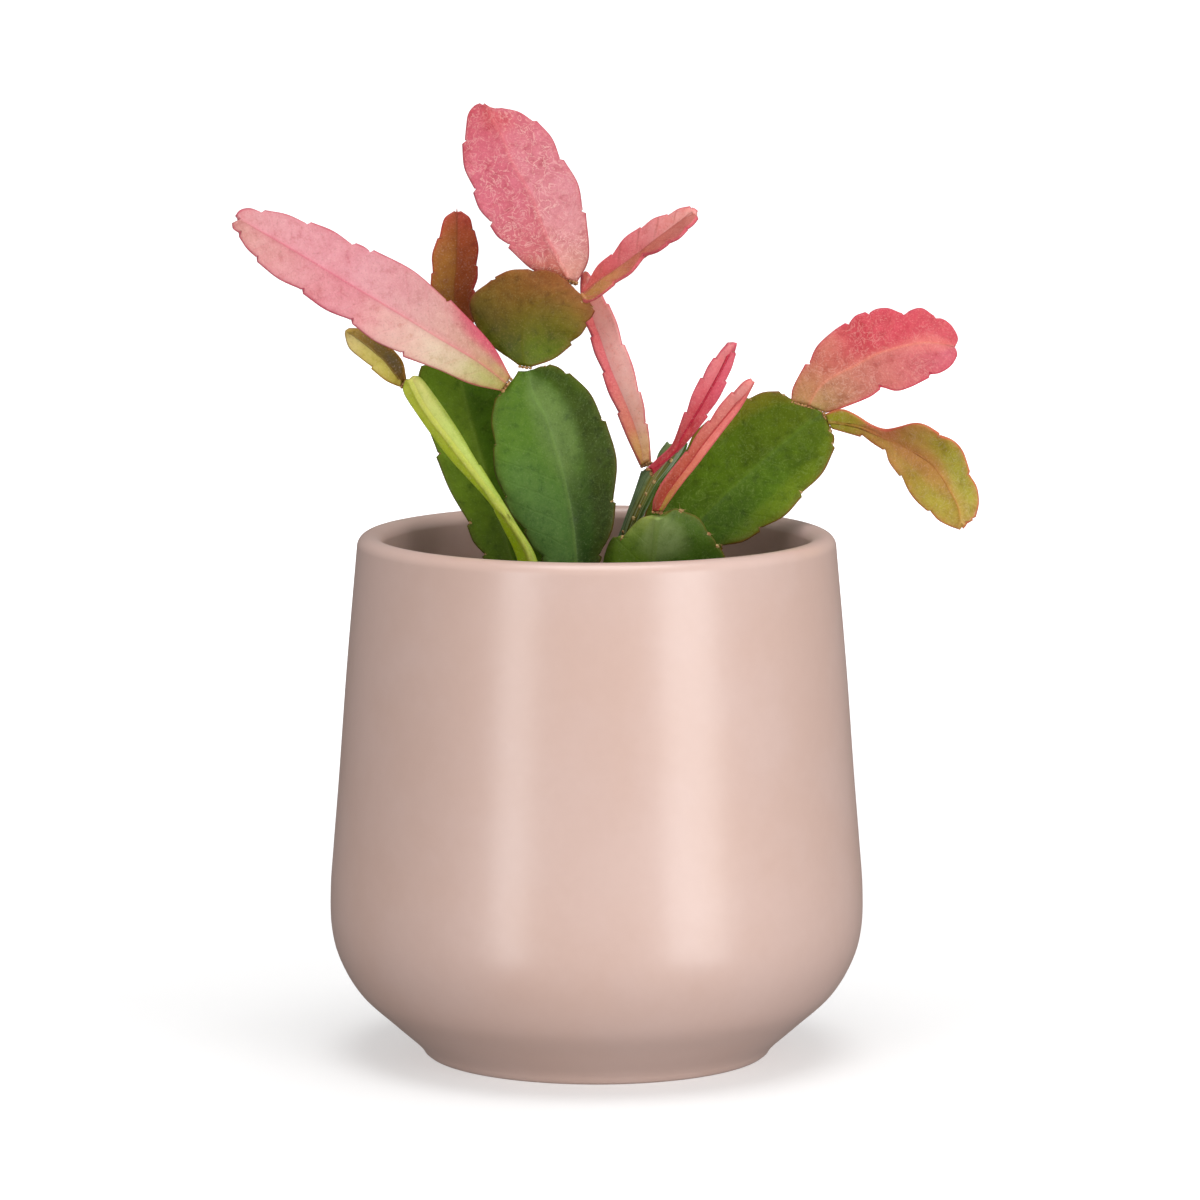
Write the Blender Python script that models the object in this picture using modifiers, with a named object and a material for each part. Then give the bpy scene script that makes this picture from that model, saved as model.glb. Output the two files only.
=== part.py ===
"""A potted rhipsalis: flat, notched stem segments jointed end to end, in a turned ceramic pot.

Metres, +Z up. The origin is the middle of the pot's flat underside. The front is towards -Y.
"""

import math

import bmesh
import bpy
from mathutils import Vector

MM = 0.001

# The pot: a turned body that swells downwards, on a narrower foot.
POT_WIDTH = 100 * MM
POT_HEIGHT = 98 * MM
LIP_RADIUS = 2.4 * MM
MOUTH_WIDTH = 79.8 * MM
WALL = 4.4 * MM
FLOOR = 6 * MM
LIP_STEPS = 8
TURN_STEPS = 48

# The soil, and the plain holes that the stems stand in. SOIL_CROWN is how far its middle rises, and
# SOIL_GAP how far it stays clear of the pot.
SOIL_LEVEL = 82 * MM
SOIL_CROWN = 0.8 * MM
SOIL_GAP = 0.3 * MM
HOLE_WIDTH = 3.8 * MM
HOLE_DEPTH = 8.5 * MM
HOLE_SIDES = 12

# The stem segments: thick at the midrib, thin at the margins and over the last TIP_ROWS rows.
RIB_THICKNESS = 1.8 * MM
NARROW_RIB_THICKNESS = 1.2 * MM
MARGIN_THICKNESS = 0.72 * MM
ROWS = 24
TIP_ROWS = 3
COLUMNS_A_HALF = 2

# The usual tooth, in millimetres, and the usual swelling of a lobe, as a share of its length. The notch
# behind a tooth lies NOTCH_ADVANCE steps further on. Each row goes at least LEAST_ADVANCE of an even step
# along the midrib, so that rows never cross.
TOOTH = 0.6
BULGE = 0.09
NOTCH_ADVANCE = 0.9
LEAST_ADVANCE = 0.6

# The plant is drawn as it is seen from the front, on a sheet of 1200 by 1200 squares.
# The sheet leans back with the line of sight, which falls by SIGHT_FALL from the horizon.
SQUARE = 0.1867 * MM
SHEET_MIDDLE = 600
SHEET_PLACE = Vector((0.63 * MM, 0, 85.4 * MM))
SIGHT_FALL = math.radians(7.87)
SIGHT_LENGTH = 1213.7 * MM

SMOOTH = "smooth"

# Each segment runs from its base to its tip. midrib holds points across and down the sheet, in squares,
# with the depth behind it in millimetres. left and right hold the teeth of the two margins, seen with the
# tip up; a smooth point is passed without a tooth. lean_left and lean_right say, evenly from base to tip,
# by how many degrees each half turns away from the front. tooth is the step at each tooth in millimetres,
# and bulge is how far a lobe swells, as a share of its length.
SEGMENTS = {
    "segment_01_long_pink": dict(
        colour=(0.81, 0.31, 0.36),
        midrib=[(506, 384, -8.8), (477, 362, -10.6), (437, 338, -12.6), (396, 313, -14.6), (347, 284, -17),
                (307, 260, -19), (266, 236, -21), (241, 221, -22)],
        left=[(501, 391), (470, 384, SMOOTH), (441, 371, SMOOTH), (403, 357), (353, 327), (303, 293),
              (257, 261), (231, 225)],
        right=[(511, 377), (491, 343, SMOOTH), (451, 300), (357, 243), (312, 222), (267, 210), (236, 213)],
        lean_left=(-10, -18),
        lean_right=(4, 12),
    ),
    "segment_02_tall_pink": dict(
        colour=(0.72, 0.19, 0.24),
        midrib=[(569, 280, -4.1), (553, 250, -3), (544, 232, -2), (530, 195, 0), (512, 165, 2),
                (503, 141, 3.6), (483, 106, 6)],
        left=[(561, 281), (546, 273, SMOOTH), (531, 269, SMOOTH), (508, 248), (490, 226), (473, 193),
              (462, 144), (466, 127, SMOOTH), (468, 114, SMOOTH), (474, 106, SMOOTH), (480, 103)],
        right=[(577, 283), (589, 257, SMOOTH), (586, 213), (564, 160), (537, 121), (502, 108),
               (491, 108, SMOOTH), (484, 103)],
        lean_left=(12, -4),
        lean_right=(8, 14),
    ),
    "segment_03_small_brown": dict(
        colour=(0.30, 0.10, 0.04),
        midrib=[(457, 351, 7), (456, 320, 8), (454, 292, 9), (456, 269, 10), (457, 240, 11), (458, 216, 12)],
        left=[(452, 351), (436, 312), (431, 274), (437, 239), (452, 212)],
        right=[(462, 351), (475, 291), (478, 267), (475, 231), (463, 213)],
        lean_left=(-25, -30),
        lean_right=(-25, -30),
        tooth=0.4,
    ),
    "segment_04_olive_oval": dict(
        colour=(0.13, 0.12, 0.02),
        midrib=[(525, 366, -8), (522, 345, -7.6), (524, 325, -7.2), (536, 306, -6.8), (556, 296, -6.3),
                (575, 289, -5.8)],
        left=[(518, 365), (484, 338, SMOOTH), (469, 302, SMOOTH), (491, 280), (527, 269), (556, 272),
              (567, 281)],
        right=[(532, 367), (554, 359, SMOOTH), (572, 345), (587, 326), (595, 311), (584, 298)],
        lean_left=(12, 10),
        lean_right=(6, 4),
    ),
    "segment_05_folded_pink": dict(
        colour=(0.74, 0.17, 0.20),
        midrib=[(588, 296, -5.2), (604, 281, -6.6), (626, 266, -8.4), (643, 253, -10), (662, 239, -12),
                (687, 221, -14.4), (696, 215, -15.4)],
        left=[(585, 291), (597, 266, SMOOTH), (611, 254), (640, 227), (667, 214), (690, 206), (698, 211)],
        right=[(592, 301), (614, 285), (643, 257), (667, 245), (686, 231), (698, 217)],
        lean_left=(10, 12),
        lean_right=(-60, -70, -70),
        tooth=0.3,
    ),
    "segment_06_narrow_pink": dict(
        colour=(0.68, 0.22, 0.24),
        midrib=[(645, 464, 0.9), (636, 430, 2.2), (623, 397, 3.6), (611, 369, 5), (600, 337, 6.4),
                (593, 317, 7.2), (585, 271, 9)],
        left=[(640, 466), (627, 438, SMOOTH), (617, 414), (602, 374), (590, 338), (580, 305), (581, 274)],
        right=[(651, 461), (650, 443, SMOOTH), (648, 424), (641, 392), (625, 345), (609, 304), (588, 272)],
        lean_left=(-25, -25),
        lean_right=(-20, -20),
        tooth=0.4,
        rib=NARROW_RIB_THICKNESS,
    ),
    "segment_07_front_green": dict(
        colour=(0.05, 0.14, 0.03),
        midrib=[(578, 643, -6), (577, 612, -6), (575, 547, -6.5), (565, 485, -7), (546, 421, -8),
                (533, 395, -8), (526, 371, -8)],
        left=[(572, 643), (570, 612, SMOOTH), (541, 559), (524, 533), (504, 500), (493, 448), (495, 398),
              (513, 379, SMOOTH), (518, 371)],
        right=[(584, 643), (584, 612, SMOOTH), (602, 557), (616, 503), (606, 421), (570, 373), (550, 364),
               (534, 369)],
        lean_left=(2, 8),
        lean_right=(2, 8),
    ),
    "segment_08_back_green": dict(
        colour=(0.07, 0.15, 0.02),
        midrib=[(527, 638, 2.6), (525, 606, 2.6), (512, 560, 3.2), (488, 480, 4.4), (470, 420, 5.6),
                (458, 372, 6.6), (454, 354, 7)],
        left=[(521, 638), (518, 606, SMOOTH), (482, 557), (467, 526), (450, 491, SMOOTH), (436, 457),
              (422, 410, SMOOTH), (418, 380, SMOOTH), (421, 366), (447, 354)],
        right=[(533, 638), (532, 606, SMOOTH), (556, 560), (556, 500), (540, 440), (512, 390), (480, 362),
               (461, 354)],
        lean_left=(-4, -8),
        lean_right=(6, 12),
    ),
    "segment_09_edge_on": dict(
        colour=(0.35, 0.45, 0.09),
        midrib=[(539, 646, -10), (537, 612, -10), (530, 560, -10.4), (515, 530, -10.8), (502, 511, -11),
                (479, 480, -11), (453, 446, -10.6), (425, 409, -10), (411, 384, -9.6)],
        left=[(533, 646), (531, 612, SMOOTH), (516, 556, SMOOTH), (504, 530, SMOOTH), (494, 510),
              (475, 486, SMOOTH), (446, 454, SMOOTH), (415, 411, SMOOTH), (403, 391)],
        right=[(545, 646), (543, 612, SMOOTH), (537, 560, SMOOTH), (514, 521, SMOOTH), (481, 466),
               (456, 427, SMOOTH), (431, 391, SMOOTH), (416, 374)],
        lean_left=(0, 32, 38, 38),
        lean_right=(10, 35, 42, 46, 46),
        tooth=0.35,
        bulge=0.03,
        rib=NARROW_RIB_THICKNESS,
    ),
    "segment_10_small_olive": dict(
        colour=(0.32, 0.29, 0.03),
        midrib=[(403, 383, -8), (396, 375, -7), (385, 361, -6.4), (376, 353, -6), (365, 344, -5.6),
                (345, 331, -5.4)],
        left=[(400, 387), (372, 370), (345, 337)],
        right=[(406, 378), (401, 356), (378, 336), (348, 326)],
        lean_left=(-10, -10),
        lean_right=(-18, -18),
        tooth=0.4,
        rib=NARROW_RIB_THICKNESS,
    ),
    "segment_11_upper_crimson": dict(
        colour=(0.68, 0.11, 0.17),
        midrib=[(652, 469, -1), (663, 461, -1.6), (675, 450, -2.4), (685, 432, -3.4), (702, 404, -4.6),
                (723, 366, -6.2), (733, 342, -7)],
        left=[(647, 468), (658, 458, SMOOTH), (669, 448, SMOOTH), (674, 440, SMOOTH), (684, 412), (700, 378),
              (713, 358), (728, 343)],
        right=[(653, 475), (663, 465, SMOOTH), (674, 455, SMOOTH), (685, 445, SMOOTH), (708, 417), (727, 383),
               (736, 354), (737, 343)],
        lean_left=(-10, -20),
        lean_right=(-10, -18),
        tooth=0.4,
    ),
    "segment_12_lower_salmon": dict(
        colour=(0.66, 0.20, 0.15),
        midrib=[(657, 511, -9), (669, 490, -10), (688, 465, -11.6), (698, 451, -12.6), (707, 439, -13.4),
                (726, 416, -15), (745, 393, -16.6), (753, 381, -17.4)],
        left=[(652, 511), (654, 498, SMOOTH), (664, 479, SMOOTH), (685, 452), (707, 421), (731, 392),
              (743, 382, SMOOTH), (751, 378)],
        right=[(663, 511), (680, 487, SMOOTH), (700, 462, SMOOTH), (722, 433, SMOOTH), (741, 408, SMOOTH),
               (755, 382)],
        lean_left=(-10, -18),
        lean_right=(-12, -18),
        tooth=0.4,
        bulge=0.04,
        rib=NARROW_RIB_THICKNESS,
    ),
    "segment_13_right_green": dict(
        colour=(0.07, 0.17, 0.02),
        midrib=[(622, 635, 5), (628, 604, 5), (660, 560, 6), (700, 520, 7.4), (745, 477, 9),
                (790, 438, 10.6), (822, 413, 11.6)],
        left=[(616, 635), (621, 603, SMOOTH), (640, 530, SMOOTH), (655, 484), (682, 451), (708, 420),
              (745, 397), (780, 391), (792, 402), (816, 409)],
        right=[(628, 635), (635, 608, SMOOTH), (682, 578, SMOOTH), (723, 549), (760, 532), (802, 497),
               (835, 448), (830, 431), (824, 417)],
        lean_left=(4, 14),
        lean_right=(2, -6),
    ),
    "segment_14_red_oval": dict(
        colour=(0.74, 0.11, 0.15),
        midrib=[(806, 400, 11.8), (818, 388, 12.2), (833, 378, 12.6), (857, 366, 13.6), (880, 354, 14.6),
                (922, 344, 16.6), (952, 343, 18)],
        left=[(797, 397), (792, 384, SMOOTH), (806, 364), (847, 322), (896, 308), (931, 312), (957, 338)],
        right=[(815, 404), (846, 405, SMOOTH), (878, 393), (929, 377), (950, 366, SMOOTH), (957, 353),
               (956, 347)],
        lean_left=(8, 12),
        lean_right=(-6, -14),
        bulge=0.13,
    ),
    "segment_15_twisted_yellow": dict(
        colour=(0.46, 0.38, 0.08),
        midrib=[(829, 422, 11.6), (845, 422, 10.6), (862, 426, 8.8), (880, 434, 6.8), (897, 441, 5),
                (908, 449, 4), (932, 468, 2), (950, 497, 0), (961, 526, -1)],
        left=[(828, 416), (842, 410, SMOOTH), (863, 420), (884, 428, SMOOTH), (912, 423, SMOOTH), (939, 432),
              (970, 470), (979, 512), (966, 525)],
        right=[(832, 428), (859, 437), (884, 454), (904, 478), (931, 513), (957, 529)],
        lean_left=(-30, -60, -50, -20, -10),
        lean_right=(-10, 0, 10, 10, 10),
        bulge=0.13,
    ),
    "segment_16_low_front": dict(
        colour=(0.08, 0.18, 0.04),
        midrib=[(650, 639, -3), (650, 609, -3), (652, 580, -4.5), (655, 545, -7), (658, 516, -9)],
        left=[(644, 639), (641, 609, SMOOTH), (613, 592, SMOOTH), (603, 566), (614, 534), (633, 526, SMOOTH),
              (651, 515)],
        right=[(656, 639), (659, 609, SMOOTH), (700, 592, SMOOTH), (727, 562), (719, 547), (711, 535),
               (703, 523, SMOOTH), (696, 516, SMOOTH), (683, 511), (665, 514)],
        lean_left=(5, 12, 25, 30),
        lean_right=(5, 8, 8),
        tooth=0.35,
    ),
    "segment_17_dark_edge_on": dict(
        colour=(0.06, 0.11, 0.05),
        midrib=[(603, 638, 1.2), (605, 607, 1.2), (619, 555, 1.2), (630, 520, 1.2), (643, 490, 1.2),
                (656, 465, 1.2), (670, 444, 1.4)],
        left=[(597, 638), (599, 607, SMOOTH), (612, 552, SMOOTH), (619, 535, SMOOTH), (629, 507, SMOOTH),
              (636, 487, SMOOTH), (641, 471), (653, 466), (667, 441)],
        right=[(609, 638), (611, 607, SMOOTH), (625, 560, SMOOTH), (638, 528, SMOOTH), (652, 499, SMOOTH),
               (660, 484, SMOOTH), (672, 471, SMOOTH), (685, 452, SMOOTH), (688, 443)],
        lean_left=(10, 40, 30, 10),
        lean_right=(-10, -10, 5, 20),
        tooth=0.35,
        rib=NARROW_RIB_THICKNESS,
    ),
}

ROOTED = (
    "segment_07_front_green",
    "segment_08_back_green",
    "segment_09_edge_on",
    "segment_13_right_green",
    "segment_16_low_front",
    "segment_17_dark_edge_on",
)


def clear_scene():
    for obj in list(bpy.data.objects):
        bpy.data.objects.remove(obj, do_unlink=True)


def new_collection(name, shown=True):
    made = bpy.data.collections.new(name)
    made.hide_render = not shown
    bpy.context.scene.collection.children.link(made)
    return made


def material(name, colour, roughness):
    made = bpy.data.materials.new(name)
    made.use_nodes = True
    shader = made.node_tree.nodes["Principled BSDF"]
    shader.inputs["Base Color"].default_value = (*colour, 1)
    shader.inputs["Roughness"].default_value = roughness
    shader.inputs["Metallic"].default_value = 0
    return made


def add_object(name, mesh, collection, surface):
    made = bpy.data.objects.new(name, mesh)
    mesh.materials.append(surface)
    collection.objects.link(made)
    return made


def smooth_curve(points, spacing):
    """Points about that far apart, along a Catmull-Rom curve through the given points."""
    ends = [2 * points[0] - points[1], *points, 2 * points[-1] - points[-2]]
    curve = [points[0].copy()]
    for before, start, end, after in zip(ends, ends[1:], ends[2:], ends[3:]):
        steps = max(1, round((end - start).length / spacing))
        for step in range(1, steps + 1):
            t = step / steps
            curve.append(
                0.5
                * (
                    2 * start
                    + (end - before) * t
                    + (2 * before - 5 * start + 4 * end - after) * t**2
                    + (3 * start - before - 3 * end + after) * t**3
                )
            )
    return curve


def along(curve, share):
    """The point at that share of the curve's length."""
    lengths = [(b - a).length for a, b in zip(curve, curve[1:])]
    left = share * sum(lengths)
    for start, end, length in zip(curve, curve[1:], lengths):
        if left <= length:
            return start.lerp(end, left / length if length else 0)
        left -= length
    return curve[-1].copy()


def curve_length(curve):
    return sum((b - a).length for a, b in zip(curve, curve[1:]))


def turned(name, profile, collection, surface):
    """A solid turned about Z from a profile of (radius, height) that runs down its outer side."""
    mesh = bpy.data.meshes.new(name)
    corners = [(radius, 0, height) for radius, height in profile]
    mesh.from_pydata(corners, [(i, i + 1) for i in range(len(corners) - 1)], [])
    made = add_object(name, mesh, collection, surface)
    screw = made.modifiers.new("turn", "SCREW")
    screw.steps = screw.render_steps = TURN_STEPS
    screw.use_merge_vertices = True
    screw.merge_threshold = 0.00005
    screw.use_smooth_shade = True
    return made


def pot_outside():
    """The outer side from the lip's widest point down to the foot, as (radius, height)."""
    half = POT_WIDTH / 2
    lip = POT_HEIGHT - LIP_RADIUS
    shoulder = [
        (MOUTH_WIDTH / 2 + 2 * LIP_RADIUS, lip),
        (0.933 * half, 0.75 * POT_HEIGHT),
        (0.964 * half, 0.54 * POT_HEIGHT),
    ]
    belly = [
        (0.985 * half, 0.41 * POT_HEIGHT),
        (0.998 * half, 0.32 * POT_HEIGHT),
        (0.995 * half, 0.245 * POT_HEIGHT),
        (0.965 * half, 0.185 * POT_HEIGHT),
        (0.893 * half, 0.122 * POT_HEIGHT),
        (0.775 * half, 0.066 * POT_HEIGHT),
        (0.688 * half, 0.027 * POT_HEIGHT),
        (0.660 * half, 0.012 * POT_HEIGHT),
        (0.650 * half, 0.004 * POT_HEIGHT),
    ]
    upper = smooth_curve([Vector((radius, height, 0)) for radius, height in shoulder], 12 * MM)
    lower = smooth_curve([Vector((radius, height, 0)) for radius, height in belly], 3.2 * MM)
    return [(point.x, point.y) for point in upper + lower]


def pot_inside():
    """The inner side from the middle of the floor up to the lip, as (radius, height)."""
    lip = POT_HEIGHT - LIP_RADIUS
    shape = [
        (24 * MM, FLOOR),
        (33 * MM, FLOOR + 1.5 * MM),
        (40 * MM, FLOOR + 8 * MM),
        (POT_WIDTH / 2 - WALL, 0.30 * POT_HEIGHT),
        (0.964 * POT_WIDTH / 2 - WALL, 0.50 * POT_HEIGHT),
        (MOUTH_WIDTH / 2, lip),
    ]
    curve = smooth_curve([Vector((radius, height, 0)) for radius, height in shape], 12 * MM)
    return [(0, FLOOR)] + [(point.x, point.y) for point in curve]


def make_pot(collection):
    lip_middle = MOUTH_WIDTH / 2 + LIP_RADIUS
    lip_height = POT_HEIGHT - LIP_RADIUS
    lip = []
    for step in range(1, LIP_STEPS):
        angle = math.pi * (1 - step / LIP_STEPS)
        lip.append((lip_middle + LIP_RADIUS * math.cos(angle), lip_height + LIP_RADIUS * math.sin(angle)))
    profile = pot_inside() + lip + pot_outside() + [(0.640 * POT_WIDTH / 2, 0), (0, 0)]
    return turned("pot", profile, collection, material("ceramic", (0.60, 0.42, 0.37), 0.35))


def make_soil(collection, cutters):
    """Potting mix up to the soil level, with a plain hole for each rooted stem."""
    inner = [(radius - SOIL_GAP, height + SOIL_GAP) for radius, height in pot_inside()[1:]]
    below = [point for point in inner if point[1] < SOIL_LEVEL - 8 * MM]
    edge = along([Vector((radius, height, 0)) for radius, height in inner], 1)
    crown = SOIL_LEVEL + SOIL_CROWN
    top = [(0, crown), (0.7 * edge.x, crown), (edge.x - 2 * SOIL_GAP, SOIL_LEVEL)]
    profile = top + list(reversed(below)) + [(0, FLOOR + SOIL_GAP)]
    made = turned("soil", profile, collection, material("potting mix", (0.045, 0.028, 0.018), 0.95))
    for name in ROOTED:
        cut = made.modifiers.new(name, "BOOLEAN")
        cut.operation = "DIFFERENCE"
        cut.object = make_hole(name, cutters)
    return made


def make_hole(name, cutters):
    """A round cutter down the line that the segment's stem takes through the soil."""
    foot, collar = (on_sheet(*point) for point in SEGMENTS[name]["midrib"][:2])
    line = (collar - foot).normalized()
    mesh = bpy.data.meshes.new("hole_" + name)
    shape = bmesh.new()
    radius = HOLE_WIDTH / 2
    bmesh.ops.create_cone(
        shape, cap_ends=True, segments=HOLE_SIDES, radius1=radius, radius2=radius, depth=2 * HOLE_DEPTH
    )
    shape.to_mesh(mesh)
    shape.free()
    made = bpy.data.objects.new("hole_" + name, mesh)
    made.location = collar
    made.rotation_mode = "QUATERNION"
    made.rotation_quaternion = line.to_track_quat("Z", "Y")
    made.hide_render = True
    made.display_type = "WIRE"
    cutters.objects.link(made)
    return made


def on_sheet(across, down, depth_mm):
    """The place in the round of a point on the sheet, that far behind it along the line of sight."""
    away = Vector((0, math.cos(SIGHT_FALL), -math.sin(SIGHT_FALL)))
    up = Vector((0, math.sin(SIGHT_FALL), math.cos(SIGHT_FALL)))
    depth = depth_mm * MM
    spread = 1 + depth / SIGHT_LENGTH
    side = (across - SHEET_MIDDLE) * SQUARE * spread
    rise = (SHEET_MIDDLE - down) * SQUARE * spread
    return SHEET_PLACE + Vector((side, 0, 0)) + up * rise + away * depth


def lobes(margin, hand, tooth, bulge):
    """The margin as a list of smooth lobes. Each ends in a tooth, and the next starts a step inwards."""
    step = tooth / SQUARE
    found = []
    waypoints = [Vector(margin[0][:2])]
    for point in margin[1:]:
        here = Vector(point[:2])
        waypoints.append(here)
        if SMOOTH in point:
            continue
        chord = waypoints[-1] - waypoints[0]
        outwards = Vector((chord.y, -chord.x)).normalized() * hand
        if len(waypoints) == 2:
            middle = (waypoints[0] + waypoints[1]) / 2 + outwards * bulge * chord.length
            waypoints.insert(1, middle)
        found.append(smooth_curve(waypoints, 1.5))
        waypoints = [here - outwards * step + chord.normalized() * 0.5 * step]
    return found


def margin_points(segment, side):
    """ROWS + 1 points along the margin, and which rows are notches. Each tooth and notch has its own row."""
    hand = 1 if side == "left" else -1
    runs = lobes(segment[side], hand, segment.get("tooth", TOOTH) * MM, segment.get("bulge", BULGE))
    pieces = [1] * len(runs)
    while sum(pieces) + len(runs) - 1 < ROWS:
        longest = max(range(len(runs)), key=lambda i: curve_length(runs[i]) / pieces[i])
        pieces[longest] += 1
    points = []
    notches = set()
    for run, count in zip(runs, pieces):
        if points:
            notches.add(len(points))
        points += [along(run, step / count) for step in range(count + 1)]
    return points, notches


def nearest_share(curve, flat_point):
    """How far along the curve, from 0 to 1, it passes nearest to the point, seen from the front."""
    gone = 0
    nearest = (math.inf, 0)
    for start, end in zip(curve, curve[1:]):
        run = end.xy - start.xy
        t = min(max((flat_point - start.xy).dot(run) / run.length_squared, 0), 1)
        distance = (start.xy + run * t - flat_point).length
        nearest = min(nearest, (distance, gone + (end - start).length * t))
        gone += (end - start).length
    return nearest[1] / gone


def between(values, share):
    """The value at that share along an evenly spaced list."""
    place = min(max(share, 0), 1) * (len(values) - 1)
    low = min(int(place), len(values) - 2)
    return values[low] + (values[low + 1] - values[low]) * (place - low)


def blade_rows(segment):
    """Rows of points across the blade, from base to tip, each from the left margin to the right one."""
    rib = smooth_curve([Vector(point) for point in segment["midrib"]], 2)
    left, right = (margin_points(segment, side) for side in ("left", "right"))
    step = segment.get("tooth", TOOTH) * MM / SQUARE
    advance = LEAST_ADVANCE / ROWS
    share = 0
    rows = []
    for index in range(ROWS + 1):
        if 0 < index < ROWS:
            share = max(nearest_share(rib, (left[0][index] + right[0][index]) / 2), share + advance)
            share = min(share, 1 - (ROWS - index) * advance)
        elif index == ROWS:
            share = 1
        middle = along(rib, share)
        halves = []
        for (points, notches), leans in ((left, segment["lean_left"]), (right, segment["lean_right"])):
            edge = points[index]
            if index in notches:
                tooth = points[index - 1]
                inwards = (middle.xy - tooth).normalized()
                onwards = (points[index + 1] - tooth).normalized()
                edge = tooth + (inwards + NOTCH_ADVANCE * onwards) * step
            lean = math.tan(math.radians(between(leans, share)))
            half = []
            for column in range(1, COLUMNS_A_HALF + 1):
                flat = middle.xy.lerp(edge, column / COLUMNS_A_HALF)
                depth = middle.z + (flat - middle.xy).length * SQUARE / MM * lean
                half.append(on_sheet(flat.x, flat.y, depth))
            halves.append(half)
        rows.append([*reversed(halves[0]), on_sheet(*middle), *halves[1]])
    return rows


def make_segment(name, segment, collection):
    """A thin notched blade, thickest at its midrib."""
    rows = blade_rows(segment)
    columns = 2 * COLUMNS_A_HALF
    rib = segment.get("rib", RIB_THICKNESS)
    shape = bmesh.new()
    bmesh.ops.create_grid(shape, x_segments=columns, y_segments=ROWS, size=1)
    thickness = shape.verts.layers.deform.verify()
    for vertex in shape.verts:
        column = round((vertex.co.x + 1) / 2 * columns)
        row = round((vertex.co.y + 1) / 2 * ROWS)
        vertex.co = rows[row][column]
        out = abs(column - COLUMNS_A_HALF) / COLUMNS_A_HALF
        thinned = max(out, 1 - (ROWS - row) / TIP_ROWS)
        vertex[thickness][0] = 1 + (MARGIN_THICKNESS / rib - 1) * thinned
    bmesh.ops.triangulate(shape, faces=shape.faces[:], quad_method="FIXED")
    mesh = bpy.data.meshes.new(name)
    shape.to_mesh(mesh)
    shape.free()
    mesh.shade_smooth()
    made = add_object(name, mesh, collection, material(name + "_skin", segment["colour"], 0.45))
    made.vertex_groups.new(name="thickness")
    solid = made.modifiers.new("thickness", "SOLIDIFY")
    solid.thickness = rib
    solid.offset = 0
    solid.vertex_group = "thickness"
    return made


def main():
    clear_scene()
    parts = new_collection("potted_rhipsalis")
    cutters = new_collection("cutters", shown=False)
    make_pot(parts)
    make_soil(parts, cutters)
    for name, segment in SEGMENTS.items():
        make_segment(name, segment, parts)


main()
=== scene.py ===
"""A potted rhipsalis: notched, waxy stem segments jointed end to end, in a turned ceramic pot.

Metres, +Z up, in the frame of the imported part. The front is towards -Y.
"""

import math
import random

import bmesh
import bpy
import numpy as np
from mathutils import Matrix, Vector, noise


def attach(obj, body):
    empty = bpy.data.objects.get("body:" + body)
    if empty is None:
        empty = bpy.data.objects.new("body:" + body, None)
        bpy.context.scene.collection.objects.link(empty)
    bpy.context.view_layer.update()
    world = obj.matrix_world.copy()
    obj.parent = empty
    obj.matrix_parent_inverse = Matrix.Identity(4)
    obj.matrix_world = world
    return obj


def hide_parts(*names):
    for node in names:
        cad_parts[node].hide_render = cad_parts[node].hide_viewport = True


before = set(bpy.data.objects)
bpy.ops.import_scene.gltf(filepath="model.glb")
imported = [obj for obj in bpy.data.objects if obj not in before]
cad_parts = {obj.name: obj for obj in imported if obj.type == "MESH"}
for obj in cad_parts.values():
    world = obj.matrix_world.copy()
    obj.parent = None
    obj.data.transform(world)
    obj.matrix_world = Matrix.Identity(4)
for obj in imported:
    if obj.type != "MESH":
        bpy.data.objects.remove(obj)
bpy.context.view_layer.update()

MM = 0.001

# The camera looks along the line of sight of the sheet that the plant is drawn on.
SQUARE = 0.1867 * MM
SHEET_MIDDLE = 600
SHEET_PLACE = np.array([0.63 * MM, 0, 85.4 * MM])
SIGHT_FALL = math.radians(7.87)
SIGHT_LENGTH = 1213.7 * MM
LENS = 195.03
SENSOR = 36
AWAY = np.array([0, math.cos(SIGHT_FALL), -math.sin(SIGHT_FALL)])
UP = np.array([0, math.sin(SIGHT_FALL), math.cos(SIGHT_FALL)])

# The pot and its soil.
POT_WIDTH = 100 * MM
POT_HEIGHT = 98 * MM
LIP_RADIUS = 2.4 * MM
MOUTH_WIDTH = 79.8 * MM
WALL = 4.4 * MM
FLOOR = 6 * MM
POT_STEPS = 240
LIP_STEPS = 24
GLAZE = (213, 181, 168)
GLAZE_CLOUD = (216, 186, 175)
GLAZE_FOOT = (188, 152, 140)
SOIL_LEVEL = 82 * MM
SOIL_SPAN = 40 * MM
SOIL_GAP = 0.3 * MM
SOIL_RELIEF = 0.8 * MM
SOIL_RINGS = 60
SOIL_STEPS = 180
CRUMBS = 520

# The stem segments.
RIB_THICKNESS = 1.8
NARROW_RIB_THICKNESS = 1.2
MARGIN_THICKNESS = 0.72
RIM_ROUNDING = 0.5
ROUND_STEM_WIDTH = (1.8, 3.4)
RIB_RIDGE = 0.1
RIB_RIDGE_REACH = 0.35
NOTCH_REACH = 1.3
SOFT_MARGIN_PASSES = 40
PUCKER = 0.05
PUCKER_SCALE = 320
ROWS = 150
OUT = np.array([0, 0.015, 0.04, 0.08, 0.14, 0.22, 0.32, 0.43, 0.55, 0.66, 0.76, 0.84, 0.9, 0.95, 0.98, 1.0])
TOOTH = 0.6
BULGE = 0.09
NOTCH_ADVANCE = 0.9
LEAST_ADVANCE = 0.6
WAVE = 0.22
VEIN_SPACING = 4.2
JOINT_STEP = 0.62 * MM
JOINT_CRUMB = 0.42 * MM

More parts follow.
